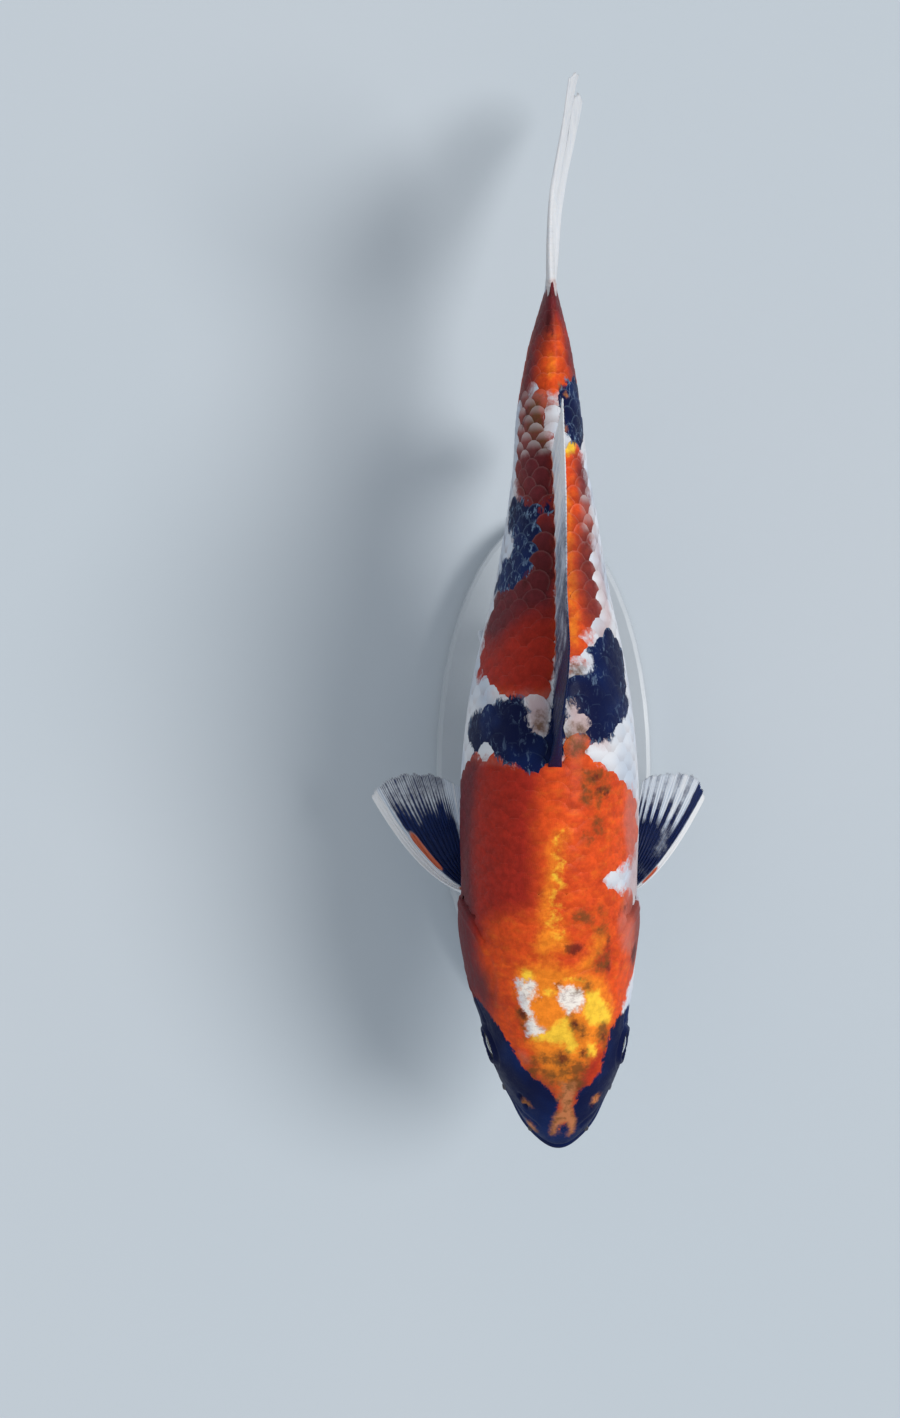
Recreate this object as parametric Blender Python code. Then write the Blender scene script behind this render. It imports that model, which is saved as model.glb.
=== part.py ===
# A koi carp, 350 mm long, swimming with its pectoral fins spread, held by two rods on a flat display base.
# Metres, +Z up. The origin is the middle of the base's underside. The head points along -Y, so the fish's
# left side is at +X. The body is shaped straight and level first, and posed() then bends it to the side.

import math

import bmesh
import bpy
from mathutils import Matrix, Vector

# ---- Driving dimensions ----
TOTAL_LENGTH = 0.350
BODY_LENGTH = 0.8000 * TOTAL_LENGTH  # snout tip to the root of the tail fin
AXIS_HEIGHT = 0.076  # the body's long axis above the surface that the base stands on
CENTRE_SHARE = 0.440  # how far along the body the base's middle is
GAP = 0.0003  # between neighbouring pieces

# ---- Where the body is parted, as shares of its length from the snout ----
HEAD_END = 0.262
TRUNK_END = 0.800

# ---- Shape of the body along its length: (share of the length, share of the body length) ----
NOSE_SHARE = 0.10  # the snout rounds off over this share
SNOUT_LEVEL = -0.0215  # the snout tip's height from the axis
HALF_WIDTH = (
    (0.000, 0.0450), (0.029, 0.0555), (0.052, 0.0592), (0.075, 0.0670), (0.100, 0.0750), (0.145, 0.0856),
    (0.191, 0.0962), (0.238, 0.1035), (0.261, 0.1050), (0.284, 0.1040), (0.307, 0.1028), (0.377, 0.1044),
    (0.423, 0.1038), (0.470, 0.1003), (0.516, 0.0951), (0.563, 0.0870), (0.609, 0.0766), (0.655, 0.0660),
    (0.702, 0.0580), (0.748, 0.0505), (0.795, 0.0432), (0.841, 0.0395), (0.864, 0.0368), (0.911, 0.0290),
    (0.934, 0.0247), (0.957, 0.0186), (0.980, 0.0122), (1.000, 0.0066),
)
BACK = (
    (0.00, 0.026), (0.05, 0.047), (0.10, 0.068), (0.15, 0.091), (0.20, 0.109), (0.26, 0.127),
    (0.35, 0.1485), (0.44, 0.1570), (0.52, 0.1530), (0.62, 0.1350), (0.74, 0.1040),
    (0.85, 0.0745), (0.92, 0.0615), (1.00, 0.0655),
)
BELLY = (
    (0.00, -0.060), (0.05, -0.068), (0.10, -0.082), (0.16, -0.098), (0.24, -0.115), (0.34, -0.127),
    (0.46, -0.1305), (0.58, -0.1230), (0.68, -0.1070), (0.78, -0.0840), (0.86, -0.0650),
    (0.93, -0.0590), (1.00, -0.0630),
)
WIDEST_LEVEL = (
    (0.00, -0.0215), (0.10, -0.028), (0.20, -0.026), (0.30, -0.012), (0.42, 0.006), (0.60, 0.010), (1.00, 0.000),
)
# How square the section is above and below its widest level: 2 is an ellipse.
UPPER_SQUARENESS = ((0.00, 2.2), (0.12, 2.35), (0.24, 2.15), (0.40, 2.0), (1.00, 2.0))
LOWER_SQUARENESS = ((0.00, 2.0), (0.15, 1.9), (0.30, 2.1), (0.50, 2.2), (0.80, 2.0), (1.00, 2.0))
# The bend to the side, and the twist: how far each unit of height leans to +X.
SIDE_BEND = (
    (0.00, 0.0112), (0.05, 0.0107), (0.10, 0.0092), (0.145, 0.0066), (0.17, 0.0040), (0.215, 0.0008), (0.25, 0.0),
    (0.50, 0.0002), (0.72, 0.0024), (0.86, -0.0006), (1.00, 0.0018), (1.05, 0.0042), (1.096, 0.0072),
    (1.143, 0.0145), (1.189, 0.0232), (1.25, 0.0335),
)
TWIST = ((0.00, 0.0), (0.36, 0.005), (0.50, 0.026), (0.60, 0.042), (0.88, 0.045), (1.00, 0.0))
TAIL_SPLAY = 0.31  # behind the body the tail fin's lobes lean apart

AROUND = 32  # facets round a section

# ---- Head ----
EYE_PLACE = (0.1245, 0.0055)  # share of the length, height from the axis
EYE_RADIUS = 0.0060
EYE_REACH = 0.0244  # how far the eye's outermost point is from the middle plane
MOUTH_LEVEL = 0.0012  # how far the mouth line is below the snout tip
MOUTH_CORNER = (0.070, -0.0415)
GILL_FRONT, GILL_BACK = 0.168, 0.294
GILL_THICKNESS = 0.0022
BARBEL_SIDES = 8
CORNER_BARBEL_REACH = {"left": (0.0042, 0.0068, -0.0040), "right": (-0.0016, 0.0060, -0.0062)}

# ---- Stand ----
BASE_HALF_LENGTH, BASE_HALF_WIDTH, BASE_THICKNESS = 0.086, 0.037, 0.009
BASE_BEVEL = 0.0018
ROD_RADIUS = 0.0030
ROD_SHARES = {"stand_rod_front": 0.36, "stand_rod_rear": 0.60}


def curve_through(stations):
    """A smooth curve through (place, value) stations that never overshoots them."""
    places = [p for p, _ in stations]
    values = [v for _, v in stations]
    steps = [(values[i + 1] - values[i]) / (places[i + 1] - places[i]) for i in range(len(values) - 1)]
    slopes = [steps[0]]
    for before, after in zip(steps, steps[1:]):
        slopes.append(2 * before * after / (before + after) if before * after > 0 else 0.0)
    slopes.append(steps[-1])

    def value(place):
        place = min(max(place, places[0]), places[-1])
        i = 0
        while i < len(steps) - 1 and place > places[i + 1]:
            i += 1
        width = places[i + 1] - places[i]
        u = (place - places[i]) / width
        return (
            (2 * u**3 - 3 * u**2 + 1) * values[i]
            + (u**3 - 2 * u**2 + u) * width * slopes[i]
            + (3 * u**2 - 2 * u**3) * values[i + 1]
            + (u**3 - u**2) * width * slopes[i + 1]
        )

    return value


half_width_share = curve_through(HALF_WIDTH)
back_share = curve_through(BACK)
belly_share = curve_through(BELLY)
widest_share = curve_through(WIDEST_LEVEL)
upper_squareness = curve_through(UPPER_SQUARENESS)
lower_squareness = curve_through(LOWER_SQUARENESS)
side_bend = curve_through(SIDE_BEND)
twist = curve_through(TWIST)


def nose_rounding(share):
    """0 at the snout tip and 1 behind the rounded snout."""
    left = 1 - min(max(share / NOSE_SHARE, 0.0), 1.0)
    return math.sqrt(1 - left * left)


def levels(share):
    """Heights of the back, the widest level and the belly at this share of the length."""
    rounding = nose_rounding(share)
    snout = SNOUT_LEVEL
    return [
        BODY_LENGTH * (snout + (level(share) - snout) * rounding)
        for level in (back_share, widest_share, belly_share)
    ]


def half_width(share):
    return BODY_LENGTH * half_width_share(share) * nose_rounding(share)


def section(share, turn):
    """The point of the straight body at this share of its length. turn is 0 at +X, a quarter at the back."""
    back, widest, belly = levels(share)
    across, up = math.cos(turn), math.sin(turn)
    power = 2 / (upper_squareness(share) if up >= 0 else lower_squareness(share))
    height = (back - widest) if up >= 0 else (widest - belly)
    x = half_width(share) * math.copysign(abs(across) ** power, across)
    z = widest + height * math.copysign(abs(up) ** power, up)
    return Vector((x, share * BODY_LENGTH, z))


def side_x(share, z):
    """How far the body's side is from the middle plane at this share and height."""
    back, widest, belly = levels(share)
    over = z >= widest
    power = upper_squareness(share) if over else lower_squareness(share)
    reach = (z - widest) / ((back - widest) if over else (belly - widest))
    return half_width(share) * max(0.0, 1 - min(reach, 1.0) ** power) ** (1 / power)


def posed(point):
    """A point of the straight body, bent to the side and set over the base."""
    share = point.y / BODY_LENGTH
    lean = twist(share) - TAIL_SPLAY * max(0.0, share - 1)
    x = point.x + BODY_LENGTH * side_bend(share) + lean * point.z
    return Vector((x, point.y - CENTRE_SHARE * BODY_LENGTH, point.z + AXIS_HEIGHT))


def outward(share, turn):
    """The straight body's outward normal."""
    small = 1e-4
    along = section(share + small, turn) - section(max(share - small, 0), turn)
    round_it = section(share, turn + small) - section(share, turn - small)
    return along.cross(round_it).normalized()


# ---- Materials ----
def material(name, colour, roughness, metallic=0.0):
    made = bpy.data.materials.new(name)
    made.use_nodes = True
    shader = made.node_tree.nodes["Principled BSDF"]
    shader.inputs["Base Color"].default_value = (*colour, 1.0)
    shader.inputs["Roughness"].default_value = roughness
    shader.inputs["Metallic"].default_value = metallic
    made.diffuse_color = (*colour, 1.0)
    return made


# ---- Mesh helpers ----
def add_object(name, mesh, finish):
    made = bpy.data.objects.new(name, mesh)
    bpy.context.scene.collection.objects.link(made)
    if finish:
        mesh.materials.append(finish)
    mesh.shade_smooth()
    mesh.set_sharp_from_angle(angle=math.radians(40))
    return made


def mesh_from(name, points, faces):
    shape = bmesh.new()
    corners = [shape.verts.new(point) for point in points]
    for face in faces:
        shape.faces.new([corners[i] for i in face])
    bmesh.ops.recalc_face_normals(shape, faces=shape.faces)
    mesh = bpy.data.meshes.new(name)
    shape.to_mesh(mesh)
    shape.free()
    return mesh


def loft_faces(rings, around):
    """Quads between rings of points, and a flat cap on each end."""
    faces = []
    for ring in range(rings - 1):
        for i in range(around):
            after = (i + 1) % around
            faces.append(
                (ring * around + i, ring * around + after, (ring + 1) * around + after, (ring + 1) * around + i)
            )
    faces.append(tuple(range(around)))
    faces.append(tuple((rings - 1) * around + i for i in range(around)))
    return faces


def cutter(name, mesh):
    made = add_object(name, mesh, None)
    made.hide_render = True
    made.display_type = "WIRE"
    return made


def boolean(target, operation, other):
    modifier = target.modifiers.new(f"{operation.lower()} {other.name}", "BOOLEAN")
    modifier.operation = operation
    modifier.solver = "EXACT"
    modifier.object = other


# ---- Body ----
def body_mesh(name, shares):
    points = []
    for share in shares:
        for i in range(AROUND):
            points.append(posed(section(share, 2 * math.pi * i / AROUND)))
    return mesh_from(name, points, loft_faces(len(shares), AROUND))


def even_shares(start, end, count):
    return [start + (end - start) * i / (count - 1) for i in range(count)]


def head_shares():
    """Close together at the snout, where the outline turns fastest."""
    snout = [NOSE_SHARE * (1 - math.cos(math.pi / 2 * i / 9)) for i in range(1, 9)]
    snout.insert(0, NOSE_SHARE * 0.002)
    return snout + even_shares(NOSE_SHARE, HEAD_END, 9)


def block(name, outline, half_across):
    """A prism with an outline in (length share, height) that spans the middle plane."""
    points = []
    for side in (-half_across, half_across):
        for share, z in outline:
            points.append(posed(Vector((side, share * BODY_LENGTH, z))))
    return mesh_from(name, points, loft_faces(2, len(outline)))


def jaw_outline(grow):
    """The wedge under the mouth line that the lower jaw fills, grown by a margin."""
    corner_share, corner_level = MOUTH_CORNER
    front = -0.03
    chin = -0.16
    mouth = BODY_LENGTH * SNOUT_LEVEL - MOUTH_LEVEL
    along = grow / BODY_LENGTH
    return [
        (front, mouth + grow),
        (0.0, mouth + grow),
        (corner_share + along, corner_level * BODY_LENGTH + grow),
        (corner_share + 0.058 + along, chin * BODY_LENGTH),
        (front, chin * BODY_LENGTH),
    ]


def eye_mesh(name, side, radius):
    shape = bmesh.new()
    bmesh.ops.create_uvsphere(shape, u_segments=16, v_segments=10, radius=radius)
    share, height = EYE_PLACE
    centre = Vector((side * (EYE_REACH - EYE_RADIUS), share * BODY_LENGTH, height))
    turn = Matrix.Rotation(math.radians(90), 4, "Y")
    bmesh.ops.transform(shape, matrix=Matrix.Translation(centre) @ turn, verts=shape.verts)
    for vert in shape.verts:
        vert.co = posed(vert.co)
    bmesh.ops.recalc_face_normals(shape, faces=shape.faces)
    mesh = bpy.data.meshes.new(name)
    shape.to_mesh(mesh)
    shape.free()
    return mesh


def gill_cover_mesh(name, side, grow):
    """The gill cover's plate: a rounded patch of the head's side with an inner wall. grow widens it for its seat."""
    columns, rows = 9, 10
    outer, inner = [], []
    for column in range(columns + 1):
        for row in range(rows + 1):
            up = -1 + 2 * row / rows
            bulge = math.sqrt(max(0.0, 1 - 0.93 * up * up))
            front = GILL_FRONT + 0.030 * (1 - bulge) - grow / BODY_LENGTH
            back = GILL_BACK - 0.070 * (1 - bulge) + grow / BODY_LENGTH
            share = front + (back - front) * column / columns
            lowest, highest = math.radians(-66), math.radians(43)
            turn = lowest + (highest - lowest) * (up + 1) / 2 + up * grow / 0.035
            if side < 0:
                turn = math.pi - turn
            point, normal = section(share, turn), outward(share, turn)
            outer.append(point + normal * (0.0006 + 2 * grow))
            inner.append(point - normal * (GILL_THICKNESS + grow))
    count = (columns + 1) * (rows + 1)
    faces = []
    for column in range(columns):
        for row in range(rows):
            a = column * (rows + 1) + row
            quad = (a, a + 1, a + rows + 2, a + rows + 1)
            faces.append(quad)
            faces.append(tuple(count + i for i in reversed(quad)))
    edge = [row for row in range(rows + 1)]
    edge += [column * (rows + 1) + rows for column in range(1, columns + 1)]
    edge += [columns * (rows + 1) + row for row in range(rows - 1, -1, -1)]
    edge += [column * (rows + 1) for column in range(columns - 1, 0, -1)]
    for a, b in zip(edge, edge[1:] + edge[:1]):
        faces.append((a, b, count + b, count + a))
    return mesh_from(name, [posed(point) for point in outer + inner], faces)


def barbel_mesh(name, start, reach, sag, root_radius, tip_radius):
    """A tapered feeler that leaves start along reach and droops by sag at its tip."""
    steps = 7
    centres = []
    for i in range(steps + 1):
        u = i / steps
        centres.append(start + reach * u + Vector((0, 0, -sag)) * u * u)
    points = []
    for i, centre in enumerate(centres):
        ahead = centres[min(i + 1, steps)] - centres[max(i - 1, 0)]
        frame = ahead.to_track_quat("Z", "Y").to_matrix()
        radius = root_radius + (tip_radius - root_radius) * i / steps
        for k in range(BARBEL_SIDES):
            angle = 2 * math.pi * k / BARBEL_SIDES
            ring = Vector((math.cos(angle), math.sin(angle), 0)) * radius
            points.append(posed(centre + frame @ ring))
    return mesh_from(name, points, loft_faces(steps + 1, BARBEL_SIDES))


# ---- Fins ----
def fin_mesh(name, roots, tips, across, root_half, tip_half, bow=0.0):
    """A closed sheet over rays that run from roots to tips, thick at its root and thin at its edge.
    across is the direction of its thickness, and bow is how far each ray arches forward."""
    steps = 5
    sides = ([], [])
    for root, tip in zip(roots, tips):
        for k in range(steps + 1):
            u = k / steps
            middle = root.lerp(tip, u) - Vector((0, bow * (tip - root).length * (u - u * u), 0))
            half = tip_half + (root_half - tip_half) * (1 - u) ** 1.6
            for points, way in zip(sides, (1, -1)):
                points.append(middle + across * half * way)
    rays = len(roots)
    count = rays * (steps + 1)
    faces = []
    for ray in range(rays - 1):
        for k in range(steps):
            a = ray * (steps + 1) + k
            quad = (a, a + 1, a + steps + 2, a + steps + 1)
            faces.append(quad)
            faces.append(tuple(count + i for i in reversed(quad)))
    edge = list(range(steps + 1))
    edge += [ray * (steps + 1) + steps for ray in range(1, rays)]
    edge += [(rays - 1) * (steps + 1) + k for k in range(steps - 1, -1, -1)]
    edge += [ray * (steps + 1) for ray in range(rays - 2, 0, -1)]
    for a, b in zip(edge, edge[1:] + edge[:1]):
        faces.append((a, b, count + b, count + a))
    return mesh_from(name, [posed(point) for point in sides[0] + sides[1]], faces)


DORSAL = {
    "base": (0.446, 0.800),
    "rays": 17,
    "length": curve_through(
        ((0.0, 0.112), (0.06, 0.142), (0.14, 0.138), (0.25, 0.118), (0.45, 0.097), (0.7, 0.086), (1.0, 0.080))
    ),
    "rise": curve_through(((0.0, 58.0), (0.5, 48.0), (1.0, 38.0))),
    "lean": curve_through(((0.0, 0.02), (0.35, 0.033), (0.5, 0.06), (0.8, 0.078), (1.0, 0.12))),
    "root_half": 0.0013,
    "tip_half": 0.0003,
}
ANAL = {
    "base": (0.742, 0.806),
    "rays": 8,
    "length": curve_through(((0.0, 0.118), (0.15, 0.132), (0.5, 0.100), (1.0, 0.070))),
    "rise": curve_through(((0.0, -52.0), (1.0, -34.0))),
    "lean": curve_through(((0.0, 0.0), (1.0, 0.0))),
    "root_half": 0.0013,
    "tip_half": 0.0003,
}


def middle_fin(name, plan, finish):
    """The dorsal or anal fin, in the middle plane along the back or belly."""
    roots, tips = [], []
    start, end = plan["base"]
    above = plan["rise"](0) > 0
    for i in range(plan["rays"]):
        u = i / (plan["rays"] - 1)
        share = start + (end - start) * u
        back, _, belly = levels(share)
        level = back + GAP if above else belly - GAP
        rise = math.radians(plan["rise"](u))
        root = Vector((0, share * BODY_LENGTH, level))
        reach = plan["length"](u) * BODY_LENGTH
        lean = reach * math.sin(rise) * plan["lean"](u)
        roots.append(root)
        tips.append(root + Vector((lean, reach * math.cos(rise), reach * math.sin(rise))))
    mesh = fin_mesh(name, roots, tips, Vector((1, 0, 0)), plan["root_half"], plan["tip_half"], 0.06)
    add_object(name, mesh, finish)


PECTORAL = {
    "rays": 11,
    "root": (0.2935, -0.0165),  # length share and height of the leading ray's root
    "base_length": 0.0078,
    "base_drop": 0.0032,
    "sweep": curve_through(((0.0, 44.0), (0.2, 52.0), (0.32, 56.0), (0.65, 69.0), (1.0, 84.0))),
    "length": curve_through(((0.0, 0.0440), (0.2, 0.0460), (0.32, 0.0450), (0.65, 0.0378), (1.0, 0.0284))),
    "droop": {"left": math.radians(40), "right": math.radians(17)},
}


def pectoral_fin(word, side, finish):
    """A fan that sweeps from halfway back, at the leading ray, to straight back. Each side droops its own way."""
    roots, tips = [], []
    plan = PECTORAL
    droop = plan["droop"][word]
    for i in range(plan["rays"]):
        u = i / (plan["rays"] - 1)
        share = plan["root"][0] + plan["base_length"] / BODY_LENGTH * u
        z = plan["root"][1] - plan["base_drop"] * u
        stand_off = GAP + 0.0010
        root = Vector((side * (side_x(share, z) + stand_off), share * BODY_LENGTH, z))
        sweep = math.radians(plan["sweep"](u))
        reach = plan["length"](u)
        out, back = reach * math.cos(sweep), reach * math.sin(sweep)
        roots.append(root)
        tips.append(root + Vector((side * out * math.cos(droop), back, -out * math.sin(droop))))
    across = (tips[0] - roots[0]).cross(tips[-1] - roots[-1]).normalized()
    name = f"pectoral_fin_{word}"
    add_object(name, fin_mesh(name, roots, tips, across, 0.0011, 0.0003, 0.22), finish)


PELVIC = {
    "rays": 8,
    "root": (0.478, 0.0085),  # length share, distance from the middle plane
    "base_length": 0.0060,
    "spread": curve_through(((0.0, 11.0), (1.0, -2.0))),
    "length": curve_through(((0.0, 0.0350), (0.2, 0.0375), (0.6, 0.0320), (1.0, 0.0240))),
    "droop": math.radians(24),
}


def belly_z(share, x):
    """The belly's height at this distance from the middle plane."""
    _, widest, belly = levels(share)
    power = lower_squareness(share)
    return widest - (widest - belly) * (1 - (x / half_width(share)) ** power) ** (1 / power)


def pelvic_fin(name, side, finish):
    roots, tips = [], []
    plan = PELVIC
    for i in range(plan["rays"]):
        u = i / (plan["rays"] - 1)
        share = plan["root"][0] + 0.004 * (1 - u)
        x = plan["root"][1] + plan["base_length"] * (1 - u)
        root = Vector((side * x, share * BODY_LENGTH, belly_z(share, x) - GAP - 0.0009))
        spread = math.radians(plan["spread"](u))
        reach = plan["length"](u)
        tip = Vector((side * math.sin(spread), math.cos(spread), -math.tan(plan["droop"])))
        roots.append(root)
        tips.append(root + tip * reach)
    across = (tips[0] - roots[0]).cross(tips[-1] - roots[-1]).normalized()
    add_object(name, fin_mesh(name, roots, tips, across, 0.0010, 0.0003), finish)


TAIL_FIN = {
    "rays": 11,
    "back": curve_through(((0.0, 0.118), (0.12, 0.142), (0.35, 0.186), (0.7, 0.233), (0.88, 0.250), (1.0, 0.243))),
    "height": curve_through(((0.0, 0.000), (0.12, 0.024), (0.35, 0.066), (0.7, 0.122), (0.88, 0.152), (1.0, 0.172))),
    "scale": {"upper": 0.915, "lower": 1.0},
    "root_half": 0.0018,
    "tip_half": 0.0003,
}


def tail_lobe(word, way, finish):
    """The upper lobe with way 1, or the lower one with way -1."""
    back, _, belly = levels(1.0)
    far = back - 0.0004 if way > 0 else -belly - 0.0004
    scale = TAIL_FIN["scale"][word]
    roots, tips = [], []
    for i in range(TAIL_FIN["rays"]):
        u = i / (TAIL_FIN["rays"] - 1)
        root = Vector((0, BODY_LENGTH + GAP, way * (0.0002 + (far - 0.0002) * u)))
        length = TAIL_FIN["back"](u) * BODY_LENGTH * (1 + (scale - 1) * u)
        height = TAIL_FIN["height"](u) * BODY_LENGTH * scale
        if i == 0:
            height = 0.0002
        roots.append(root)
        tips.append(Vector((0, BODY_LENGTH + length, way * height)))
    name = f"tail_fin_{word}"
    mesh = fin_mesh(name, roots, tips, Vector((1, 0, 0)), TAIL_FIN["root_half"], TAIL_FIN["tip_half"])
    add_object(name, mesh, finish)


# ---- Stand ----
def stand_base(finish):
    sides = 48
    points = []
    for z in (0.0, BASE_THICKNESS):
        for i in range(sides):
            angle = 2 * math.pi * i / sides
            points.append(Vector((BASE_HALF_WIDTH * math.cos(angle), BASE_HALF_LENGTH * math.sin(angle), z)))
    made = add_object("stand_base", mesh_from("stand_base", points, loft_faces(2, sides)), finish)
    bevel = made.modifiers.new("soft edge", "BEVEL")
    bevel.width = BASE_BEVEL
    bevel.segments = 2
    bevel.limit_method = "ANGLE"
    bevel.angle_limit = math.radians(60)


def stand_rod(name, share, finish):
    """A rod from the base up to the belly, cut off along the belly's own slope."""
    foot = posed(Vector((0, share * BODY_LENGTH, 0)))
    sides = 16
    points = []
    for top in (False, True):
        for i in range(sides):
            angle = 2 * math.pi * i / sides
            x, y = foot.x + ROD_RADIUS * math.cos(angle), foot.y + ROD_RADIUS * math.sin(angle)
            z = under_body(x, y) - GAP if top else BASE_THICKNESS + GAP
            points.append(Vector((x, y, z)))
    add_object(name, mesh_from(name, points, loft_faces(2, sides)), finish)


def under_body(x, y):
    """The belly's height over this place of the base."""
    share = (y + CENTRE_SHARE * BODY_LENGTH) / BODY_LENGTH
    lowest = 1.0
    steps = 400
    for i in range(steps):
        here = posed(section(share, math.pi + math.pi * i / steps))
        there = posed(section(share, math.pi + math.pi * (i + 1) / steps))
        if min(here.x, there.x) <= x <= max(here.x, there.x):
            lowest = min(lowest, here.z, there.z)
    return lowest


def build():
    for old in list(bpy.data.objects):
        bpy.data.objects.remove(old)

    red = material("red_skin", (0.62, 0.11, 0.03), 0.35)
    dark = material("black_skin", (0.02, 0.02, 0.04), 0.35)
    white = material("white_skin", (0.80, 0.78, 0.80), 0.35)
    fin_skin = material("fin_membrane", (0.66, 0.68, 0.74), 0.4)
    dark_fin = material("dark_fin_membrane", (0.06, 0.06, 0.09), 0.4)
    eye = material("eye", (0.05, 0.035, 0.02), 0.1)
    base_finish = material("stand_lacquer", (0.62, 0.63, 0.64), 0.35)
    steel = material("stand_steel", (0.55, 0.56, 0.58), 0.3, 1.0)

    head = add_object("head", body_mesh("head", head_shares()), red)
    jaw = add_object("lower_jaw", body_mesh("lower_jaw", head_shares()), dark)
    boolean(jaw, "INTERSECT", cutter("jaw_wedge", block("jaw_wedge", jaw_outline(0.0), 0.05)))
    boolean(head, "DIFFERENCE", cutter("jaw_seat", block("jaw_seat", jaw_outline(GAP), 0.05)))
    small = GAP / BODY_LENGTH
    trunk = add_object("trunk", body_mesh("trunk", even_shares(HEAD_END + small, TRUNK_END, 18)), red)
    stalk = body_mesh("tail_stalk", even_shares(TRUNK_END + small, 1.0, 9))
    add_object("tail_stalk", stalk, red)

    for word, side in (("left", 1), ("right", -1)):
        add_object(f"eye_{word}", eye_mesh(f"eye_{word}", side, EYE_RADIUS), eye)
        boolean(head, "DIFFERENCE", cutter(f"eye_socket_{word}", eye_mesh("eye_socket", side, EYE_RADIUS + GAP)))
        add_object(f"gill_cover_{word}", gill_cover_mesh(f"gill_cover_{word}", side, 0.0), red)
        seat = cutter(f"gill_seat_{word}", gill_cover_mesh("gill_seat", side, GAP))
        boolean(head, "DIFFERENCE", seat)
        boolean(trunk, "DIFFERENCE", seat)

        corner_share, corner_level = MOUTH_CORNER
        z = corner_level * BODY_LENGTH + 0.0022
        corner = Vector((side * (side_x(corner_share, z) + 0.0016), corner_share * BODY_LENGTH, z))
        name = f"barbel_corner_{word}"
        mesh = barbel_mesh(name, corner, Vector(CORNER_BARBEL_REACH[word]), 0.0050, 0.0010, 0.0004)
        add_object(name, mesh, dark)
        lip_share, lip_z = 0.022, -0.0050
        lip = Vector((side * (side_x(lip_share, lip_z) + 0.0012), lip_share * BODY_LENGTH, lip_z))
        name = f"barbel_lip_{word}"
        mesh = barbel_mesh(name, lip, Vector((side * 0.0012, 0.0022, -0.0032)), 0.0014, 0.0007, 0.0004)
        add_object(name, mesh, dark)

        pectoral_fin(word, side, dark_fin)
        pelvic_fin(f"pelvic_fin_{word}", side, white)

    middle_fin("dorsal_fin", DORSAL, fin_skin)
    middle_fin("anal_fin", ANAL, fin_skin)
    tail_lobe("upper", 1, fin_skin)
    tail_lobe("lower", -1, fin_skin)

    stand_base(base_finish)
    for name, share in ROD_SHARES.items():
        stand_rod(name, share, steel)


build()
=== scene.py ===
# A koi carp on its display stand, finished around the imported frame: skin, scales, rayed fins, eyes and stand.
# Lengths inside the dictionaries are in millimetres unless a note says otherwise. The head points along -Y.
import math

import bpy
import numpy as np
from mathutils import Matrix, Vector


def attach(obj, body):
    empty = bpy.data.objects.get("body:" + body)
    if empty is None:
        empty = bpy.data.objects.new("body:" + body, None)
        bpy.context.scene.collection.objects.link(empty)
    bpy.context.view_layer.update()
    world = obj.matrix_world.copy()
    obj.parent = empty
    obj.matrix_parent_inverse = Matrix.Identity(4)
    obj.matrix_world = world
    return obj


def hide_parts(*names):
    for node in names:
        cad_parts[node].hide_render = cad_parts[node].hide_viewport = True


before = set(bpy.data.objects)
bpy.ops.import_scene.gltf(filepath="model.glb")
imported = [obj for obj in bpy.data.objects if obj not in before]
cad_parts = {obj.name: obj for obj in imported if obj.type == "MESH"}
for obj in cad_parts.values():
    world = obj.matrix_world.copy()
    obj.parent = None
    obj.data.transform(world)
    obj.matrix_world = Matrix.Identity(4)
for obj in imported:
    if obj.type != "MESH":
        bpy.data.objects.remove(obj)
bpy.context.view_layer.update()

mm = 0.001


def pairsIn(text):
    return [tuple(float(number) for number in pair.split(",")) for pair in text.split()]


def curveThrough(stations):
    # a smooth curve through "place,value" stations that never overshoots them
    places, values = np.array(pairsIn(stations) if isinstance(stations, str) else stations, float).T
    steps = np.diff(values) / np.diff(places)
    slopes = np.concatenate([steps[:1], np.zeros(len(steps) - 1), steps[-1:]])
    for i in range(1, len(steps)):
        if steps[i - 1] * steps[i] > 0:
            slopes[i] = 2 * steps[i - 1] * steps[i] / (steps[i - 1] + steps[i])

    def value(place):
        place = np.clip(np.asarray(place, float), places[0], places[-1])
        i = np.clip(np.searchsorted(places, place, side="right") - 1, 0, len(steps) - 1)
        width = places[i + 1] - places[i]
        u = (place - places[i]) / width
        return (
            (2 * u**3 - 3 * u**2 + 1) * values[i]
            + (u**3 - 2 * u**2 + u) * width * slopes[i]
            + (3 * u**2 - 2 * u**3) * values[i + 1]
            + (u**3 - u**2) * width * slopes[i + 1]
        )

    return value


def smoothStep(low, high, x):
    u = np.clip((x - low) / (high - low), 0, 1)
    return u * u * (3 - 2 * u)


def hump(x, width):
    return np.exp(-((x / width) ** 2))


def deselectAll():
    if bpy.context.mode != "OBJECT":
        bpy.ops.object.mode_set(mode="OBJECT")
    bpy.ops.object.select_all(action="DESELECT")


def placesOf(piece):
    flat = np.empty(len(piece.data.vertices) * 3)
    piece.data.vertices.foreach_get("co", flat)
    return flat.reshape(-1, 3)


def movePoints(piece, places):
    piece.data.vertices.foreach_set("co", np.ascontiguousarray(places, np.float32).ravel())
    piece.data.update()


def unitBall(segments, rings):
    # the start of every rounded piece, its points, their way from pole to pole, and their turn
    deselectAll()
    bpy.ops.mesh.primitive_uv_sphere_add(segments=segments, ring_count=rings, radius=1)
    ball = placesOf(bpy.context.object)
    return bpy.context.object, ball, np.arccos(np.clip(ball[:, 2], -1, 1)), np.arctan2(ball[:, 1], ball[:, 0])


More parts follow.
